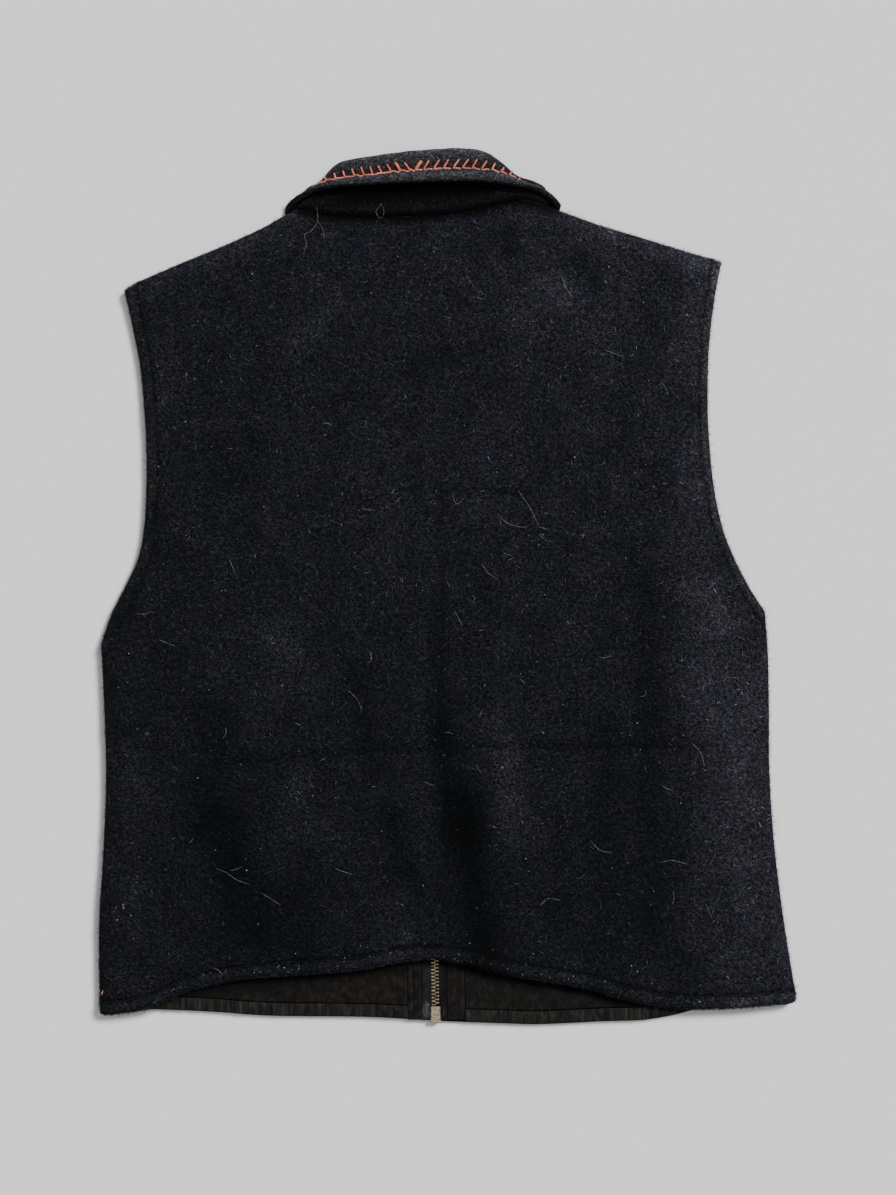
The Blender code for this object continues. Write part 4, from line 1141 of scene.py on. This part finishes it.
def height_finder(*things):
    """Height of the uppermost of some pieces over a point, in millimetres."""
    trees = []
    for thing in things:
        points = [vertex.co for vertex in thing.data.vertices]
        trees.append(BVHTree.FromPolygons(points, [tuple(face.vertices) for face in thing.data.polygons]))

    def height(x, y):
        found = []
        for tree in trees:
            hit = tree.ray_cast(Vector(metres((x, y, LOOK_FROM))), Vector((0, 0, -1)))[0]
            if hit is not None:
                found.append(hit.z / MM)
        return max(found) if found else None
    return height


top_height = height_finder(back, collar)


def stitch_line(line, off, toward):
    """Places of the stitches a distance inside an edge."""
    out = []
    steps = int(line.lengths[-1] / STITCH_PITCH)
    for k in range(2, steps - 1):
        a, b = line.at((k - 0.5) / steps), line.at((k + 0.5) / steps)
        run = (b - a) / np.linalg.norm(b - a)
        inward = np.array([-run[1], run[0]]) * toward
        p = (a + b) / 2 + inward * off
        z = top_height(p[0], p[1])
        if z is not None:
            out.append(spot(p[0], p[1], z - STITCH_SUNK, math.atan2(run[1], run[0])))
    return out


places = []
for line, off, toward in ((hem_back, HEM_STITCH, 1), (arm_left, ARM_STITCH, -1), (arm_right, ARM_STITCH, 1)):
    places += stitch_line(line, off, toward)
repeat("topstitching", stitch(), places, black_thread)


# Nap
# Lightness of the middle fibre as a logarithm, and share and gain of the palest fibres
FIBRE_LIGHT, PALE_SHARE, PALE_GAIN = -4.45, 0.05, 4.0
ROOT_DEPTH, RIM_LENGTH, LOWEST = 0.35, 0.42, 0.05


def nap(name, surface, tone, count, long, wide, seed, rim=None, rim_count=0, uneven=0.62):
    """Short bent fibres lying on the wool and past its rim, as narrow ribbons of two faces each."""
    pick = np.random.default_rng(seed)
    a, b, c, d = surface[:-1, :-1], surface[:-1, 1:], surface[1:, :-1], surface[1:, 1:]
    cross = np.cross(b - a, c - a)
    size = np.linalg.norm(cross, axis=2)
    normal = cross / np.maximum(size, 1e-9)[..., None]
    cell = pick.choice(size.size, count, p=size.ravel() / size.sum())
    s, t = pick.random((2, count, 1))
    flat = [g.reshape(-1, 3)[cell] for g in (a, b, c, d)]
    root = (flat[0] * (1 - s) + flat[1] * s) * (1 - t) + (flat[2] * (1 - s) + flat[3] * s) * t
    out = normal.reshape(-1, 3)[cell]
    colour = tone[:-1, :-1].reshape(-1, 3)[cell]
    first = unit(flat[1] - flat[0])
    second = np.cross(out, first)
    turn = pick.normal(-0.5, 1.2, (count, 1))
    aim = first * np.cos(turn) + second * np.sin(turn)
    bend = turn + pick.normal(0, 0.75, (count, 1))
    aim_two = first * np.cos(bend) + second * np.sin(bend)
    rise = pick.uniform(0.05, 0.75, (count, 1))
    if rim_count:
        points, ways, shades = rim
        k = pick.integers(0, len(points) - 1, rim_count)
        near = np.linalg.norm(points[k + 1] - points[k], axis=1, keepdims=True) < 9.0
        seat = points[k] + (points[k + 1] - points[k]) * near * pick.random((rim_count, 1))
        root = np.concatenate([root, seat + pick.normal(0, 0.4, (rim_count, 3)) * (1, 1, 0.8)])
        spin = pick.normal(0, 0.7, (rim_count, 1))
        way_x, way_y, way_z = ways[k, :1], ways[k, 1:2], ways[k, 2:]
        turned = np.concatenate([way_x * np.cos(spin) - way_y * np.sin(spin),
                                 way_x * np.sin(spin) + way_y * np.cos(spin),
                                 way_z + pick.normal(0.1, 0.3, (rim_count, 1))], 1)
        aim = np.concatenate([aim, unit(turned)])
        aim_two = np.concatenate([aim_two, unit(turned + pick.normal(0, 0.5, (rim_count, 3)))])
        out = np.concatenate([out, np.tile([0, 0, 1.0], (rim_count, 1))])
        colour = np.concatenate([colour, shades[k]])
        rise = np.concatenate([rise, np.zeros((rim_count, 1))])
    total = count + rim_count
    length = pick.uniform(0.45, 1.2, (total, 1)) * long
    length[count:] *= RIM_LENGTH
    middle = root + aim * length * 0.5 + out * rise
    end = middle + aim_two * length * 0.5 + out * (rise * pick.uniform(-0.9, 0.7, (total, 1)))
    root = root - out * ROOT_DEPTH
    across = unit(np.cross(out, aim)) * wide * pick.uniform(0.6, 1.2, (total, 1)) * 0.5
    across_two = unit(np.cross(out, aim_two)) * wide * 0.3
    verts = np.stack([root - across, root + across, middle - across, middle + across, end - across_two,
                      end + across_two], 1).reshape(-1, 3)
    verts[:, 2] = np.maximum(verts[:, 2], LOWEST)
    n = np.arange(total)[:, None] * 6
    faces = np.concatenate([n + np.array([[0, 1, 3, 2]]), n + np.array([[2, 3, 5, 4]])])
    light = np.exp(pick.normal(FIBRE_LIGHT, uneven, (total, 1)))
    light = np.where(pick.random((total, 1)) < PALE_SHARE * uneven, light * PALE_GAIN, light)
    shade = np.repeat(light * (0.08 + 0.92 * colour) * np.exp(pick.normal(0, 0.10, (total, 3))), 6, 0)
    return piece(name, verts, faces.tolist(), nap_fibre, tone=shade)


def rim_of(surface, tone):
    """Edge points of a sheet with their directions outwards and shades."""
    rows, cols = surface.shape[:2]
    edge = [(0, j) for j in range(cols)] + [(i, -1) for i in range(rows)]
    edge += [(-1, j) for j in range(cols)] + [(i, 0) for i in range(rows)]
    inner = {0: 1, -1: -2}
    points, ways, shades = [], [], []
    for i, j in edge:
        way = surface[i, j] - surface[inner.get(i, i), inner.get(j, j)]
        way[2] = 0
        if np.linalg.norm(way) > 1e-6:
            points.append(surface[i, j] - np.array([0, 0, 1.2]))
            ways.append(unit(way))
            shades.append(tone[i, j])
    return np.array(points), np.array(ways), np.array(shades)


half = back_top.shape[0] // 2
back_rim = rim_of(back_top, back_tone)
nap("back_nap_low", back_top[:half + 1], back_tone[:half + 1], 43000, 4.6, 0.26, 101)
nap("back_nap_high", back_top[half:], back_tone[half:], 43000, 4.6, 0.26, 102)
collar_top = np.array([face[0] for face in outer_face])[:, FOLD_START:]
# Fibres past the fall's edge are darker, as painted shade
tips = (collar_top[:, -1], unit(np.array([section[5] for section in sections])), collar_tone[:, -1] * 0.6)
nap("collar_nap", collar_top[::-1], collar_tone[::-1, FOLD_START:], 20000, 2.3, 0.17, 103, tips, 4500, 0.24)
nap("collar_stand_nap", np.array(stand_face), stand_tone, 7000, 2.6, 0.19, 105)
nap("edge_nap", back_top[:2], back_tone[:2], 300, 2.4, 0.20, 104, back_rim, 11000)
# Fibres hanging from the hem's edge, darkened as painted shade to deepen the shadow that the hem throws
hem_rim = tuple(part[:back_top.shape[1]] for part in back_rim)
nap("hem_nap", back_top[:2], back_tone[:2] * 0.3, 300, 3.2, 0.28, 106, hem_rim, 6000)

# Hairs and lint caught in the nap
# Millimetres in a picture point, and the picture point over the frame's origin
PICTURE_POINT, ORIGIN_ACROSS, ORIGIN_DOWN = 0.83, 447.5, 587.5
# Field of the loose hairs across and down, in picture points, and of the lint, in millimetres
FIELD_ACROSS, FIELD_DOWN, LINT_ACROSS, LINT_ALONG = (120, 780), (230, 985), (-280, 275), (-345, 300)
LOOSE_HAIRS, SPECKS, HEM_SPECKS, HAIR_THICK, LOOSE_END_THICK = 32, 420, 60, 0.18, 0.32
# Radius of a speck of lint in metres, and how it is drawn out
SPECK_RADIUS, SPECK_SHAPE = 0.0005, (1.2, 0.75, 0.5)
# Where the loose end of yarn lies along the hem, and how far from it
LOOSE_END_SHARE, LOOSE_END_OFF = 0.008, (-2.2, 19.5)
# Points along the hairs that show most, in picture points
HAIRS = [
    [(497, 513), (503, 520), (509, 524), (519, 527), (528, 527)],
    [(518, 491), (524, 499), (531, 510), (539, 527)],
    [(539, 527), (549, 530)], [(539, 534), (545, 540), (552, 542)], [(482, 564), (487, 572), (497, 579)],
    [(531, 541), (536, 540)], [(504, 553), (512, 556)], [(395, 503), (402, 496)], [(400, 484), (405, 486)],
    [(452, 496), (457, 504), (464, 498)], [(402, 578), (403, 583)],
    [(317, 209), (318, 222), (312, 232), (305, 236), (307, 246), (303, 256)],
    [(318, 222), (323, 230), (325, 240)],
    [(380, 208), (376, 213), (380, 219), (384, 215), (383, 208)], [(380, 208), (382, 204)],
    [(216, 868), (226, 872), (238, 880), (250, 884)], [(262, 893), (272, 899), (281, 905)],
    [(660, 862), (672, 860), (688, 864)], [(560, 276), (566, 290), (573, 300)], [(603, 350), (622, 357)],
    [(230, 560), (236, 575)], [(160, 640), (176, 646)], [(690, 742), (700, 752), (704, 766)],
    [(348, 690), (358, 700), (362, 712)], [(455, 612), (463, 626)], [(590, 840), (600, 850), (612, 852)],
    [(540, 905), (548, 898), (560, 900)], [(706, 905), (712, 918)], [(335, 868), (352, 874)]]
# Larger lint: x, y, size
LARGE_LINT = ((-269.0, -263.0, 1.7), (-268.6, -265.4, 1.5), (-262.4, -271.8, 1.6), (-273.8, -275.6, 1.5),
              (-254.8, -263.6, 0.9), (-156.9, -278.9, 1.1), (-202.3, -320.9, 1.1))


def hair(points, seed):
    """A hair laid on the cloth along picture points, or nothing where it would miss the cloth."""
    pick = np.random.default_rng(seed)
    plan = spline(np.array(points, float), np.linspace(0, len(points) - 1, 4 * len(points)))
    path = []
    for k, (right, down) in enumerate(plan):
        x, y = (right - ORIGIN_ACROSS) * PICTURE_POINT, (ORIGIN_DOWN - down) * PICTURE_POINT
        z = top_height(x, y)
        if z is None:
            continue
        path.append((x, y, z + 0.35 + 0.35 * math.sin(k * 0.9 + pick.uniform(0, 0.5))))
    if len(path) < 3:
        return None
    taper = np.interp(np.linspace(0, 1, len(path)), [0, 0.2, 0.8, 1], [0.5, 1, 1, 0.4])
    return np.array(path), taper


runs = [hair(points, k) for k, points in enumerate(HAIRS)]
loose = np.random.default_rng(29)
for k in range(LOOSE_HAIRS):
    points = [(loose.uniform(*FIELD_ACROSS), loose.uniform(*FIELD_DOWN))]
    turn, curl, reach = loose.uniform(0, 2 * math.pi), loose.normal(0, 0.35), loose.uniform(1.2, 4.6)
    for _ in range(3):
        points.append((points[-1][0] + reach * math.cos(turn), points[-1][1] + reach * math.sin(turn)))
        turn += curl
    runs.append(hair(points, 200 + k))
yarns("stray_hairs", [run for run in runs if run is not None], HAIR_THICK, pale_hair)

speck = model(bpy.ops.mesh.primitive_ico_sphere_add, subdivisions=1, radius=SPECK_RADIUS)
bpy.ops.transform.resize(value=SPECK_SHAPE)
bpy.ops.object.mode_set(mode="OBJECT")
places = []
for k in range(SPECKS):
    if k < HEM_SPECKS:
        share = loose.uniform(0.12, 0.9)
        x, y = hem_back.at(share) + np.array([0, loose.uniform(0.8, 11.0)])
    else:
        x, y = loose.uniform(*LINT_ACROSS), loose.uniform(*LINT_ALONG)
    z = top_height(x, y)
    if z is None:
        continue
    large = math.exp(loose.normal(-0.42, 0.33))
    places.append(spot(x, y, z + 0.3, loose.uniform(0, 3.1), (large, large, large)))
for x, y, large in LARGE_LINT:
    places.append(spot(x, y, top_height(x, y) + 0.3, x * y, (large, 0.8 * large, 0.8 * large)))
repeat("lint_specks", speck, places, pale_hair)

# Frayed end of orange yarn at the lower left corner
foot = hem_back.at(LOOSE_END_SHARE) + np.array(LOOSE_END_OFF)
z = top_height(*foot) or 6.0
runs = []
for k in range(5):
    turn = -2.4 + 0.35 * k
    path = [(foot[0] + 0.5 * math.cos(turn), foot[1] + 0.4 * math.sin(turn), z + 0.1)]
    for s in (1.0, 2.0, 3.0):
        x, y = foot[0] - 0.6 * s * math.cos(turn * 0.6), foot[1] + 1.5 * s * math.sin(turn) * 0.8
        path.append((x, y, z + 0.5 - 0.1 * s))
    runs.append((path, 1.0))
yarns("orange_yarn_end", runs, LOOSE_END_THICK, orange_yarn)

# Camera, floor and light
# In metres: the camera's height and place, its distance from the vest's top, and the picture's height there
CAMERA_HIGH, CAMERA_Y, TOP_DISTANCE, PICTURE_TALL = 2.2, -0.0083, 2.19, 0.9919
SENSOR, LENS_TRIM = 36.0, 1.002
FLOOR_SIZE, FLOOR_Z, FLOOR_COLOUR = 8.0, -0.0003, (0.90, 0.90, 0.90)
WINDOW_FROM, WINDOW_ENERGY, WINDOW_ANGLE = (1.2, 1.05, 1.25), 4.6, 0.35
OVERHEAD_PLACE, OVERHEAD_SIZE, OVERHEAD_ENERGY, ROOM_LIGHT = (0.1, 0.1, 3.2), 3.0, 20, 0.26
bpy.ops.object.select_all(action="DESELECT")
bpy.ops.object.camera_add(location=(0.0, CAMERA_Y, CAMERA_HIGH), rotation=(0, 0, 0))
camera = bpy.context.object
camera.data.sensor_width = SENSOR
camera.data.lens = SENSOR * TOP_DISTANCE / PICTURE_TALL * LENS_TRIM
bpy.context.scene.camera = camera

bpy.ops.mesh.primitive_plane_add(size=FLOOR_SIZE, location=(0, 0, FLOOR_Z))
floor = bpy.context.object
floor.name = "floor"
material, _, shader = finish("pale floor", 0.9, specular=0.1)
shader.inputs["Base Color"].default_value = (*FLOOR_COLOUR, 1)
floor.data.materials.append(material)
floor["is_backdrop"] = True

bpy.ops.object.light_add(type="SUN", location=WINDOW_FROM)
sun = bpy.context.object
sun.name = "window_light"
sun.rotation_euler = (-Vector(WINDOW_FROM)).to_track_quat("-Z", "Y").to_euler()
sun.data.energy = WINDOW_ENERGY
sun.data.angle = WINDOW_ANGLE
bpy.ops.object.light_add(type="AREA", location=OVERHEAD_PLACE)
top_light = bpy.context.object
top_light.name = "overhead_light"
top_light.data.shape = "RECTANGLE"
top_light.data.size, top_light.data.size_y = OVERHEAD_SIZE, OVERHEAD_SIZE
top_light.data.energy = OVERHEAD_ENERGY
world = bpy.data.worlds.new("studio")
world.use_nodes = True
world.node_tree.nodes["Background"].inputs["Color"].default_value = (1, 1, 1, 1)
world.node_tree.nodes["Background"].inputs["Strength"].default_value = ROOM_LIGHT
bpy.context.scene.world = world

low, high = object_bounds()
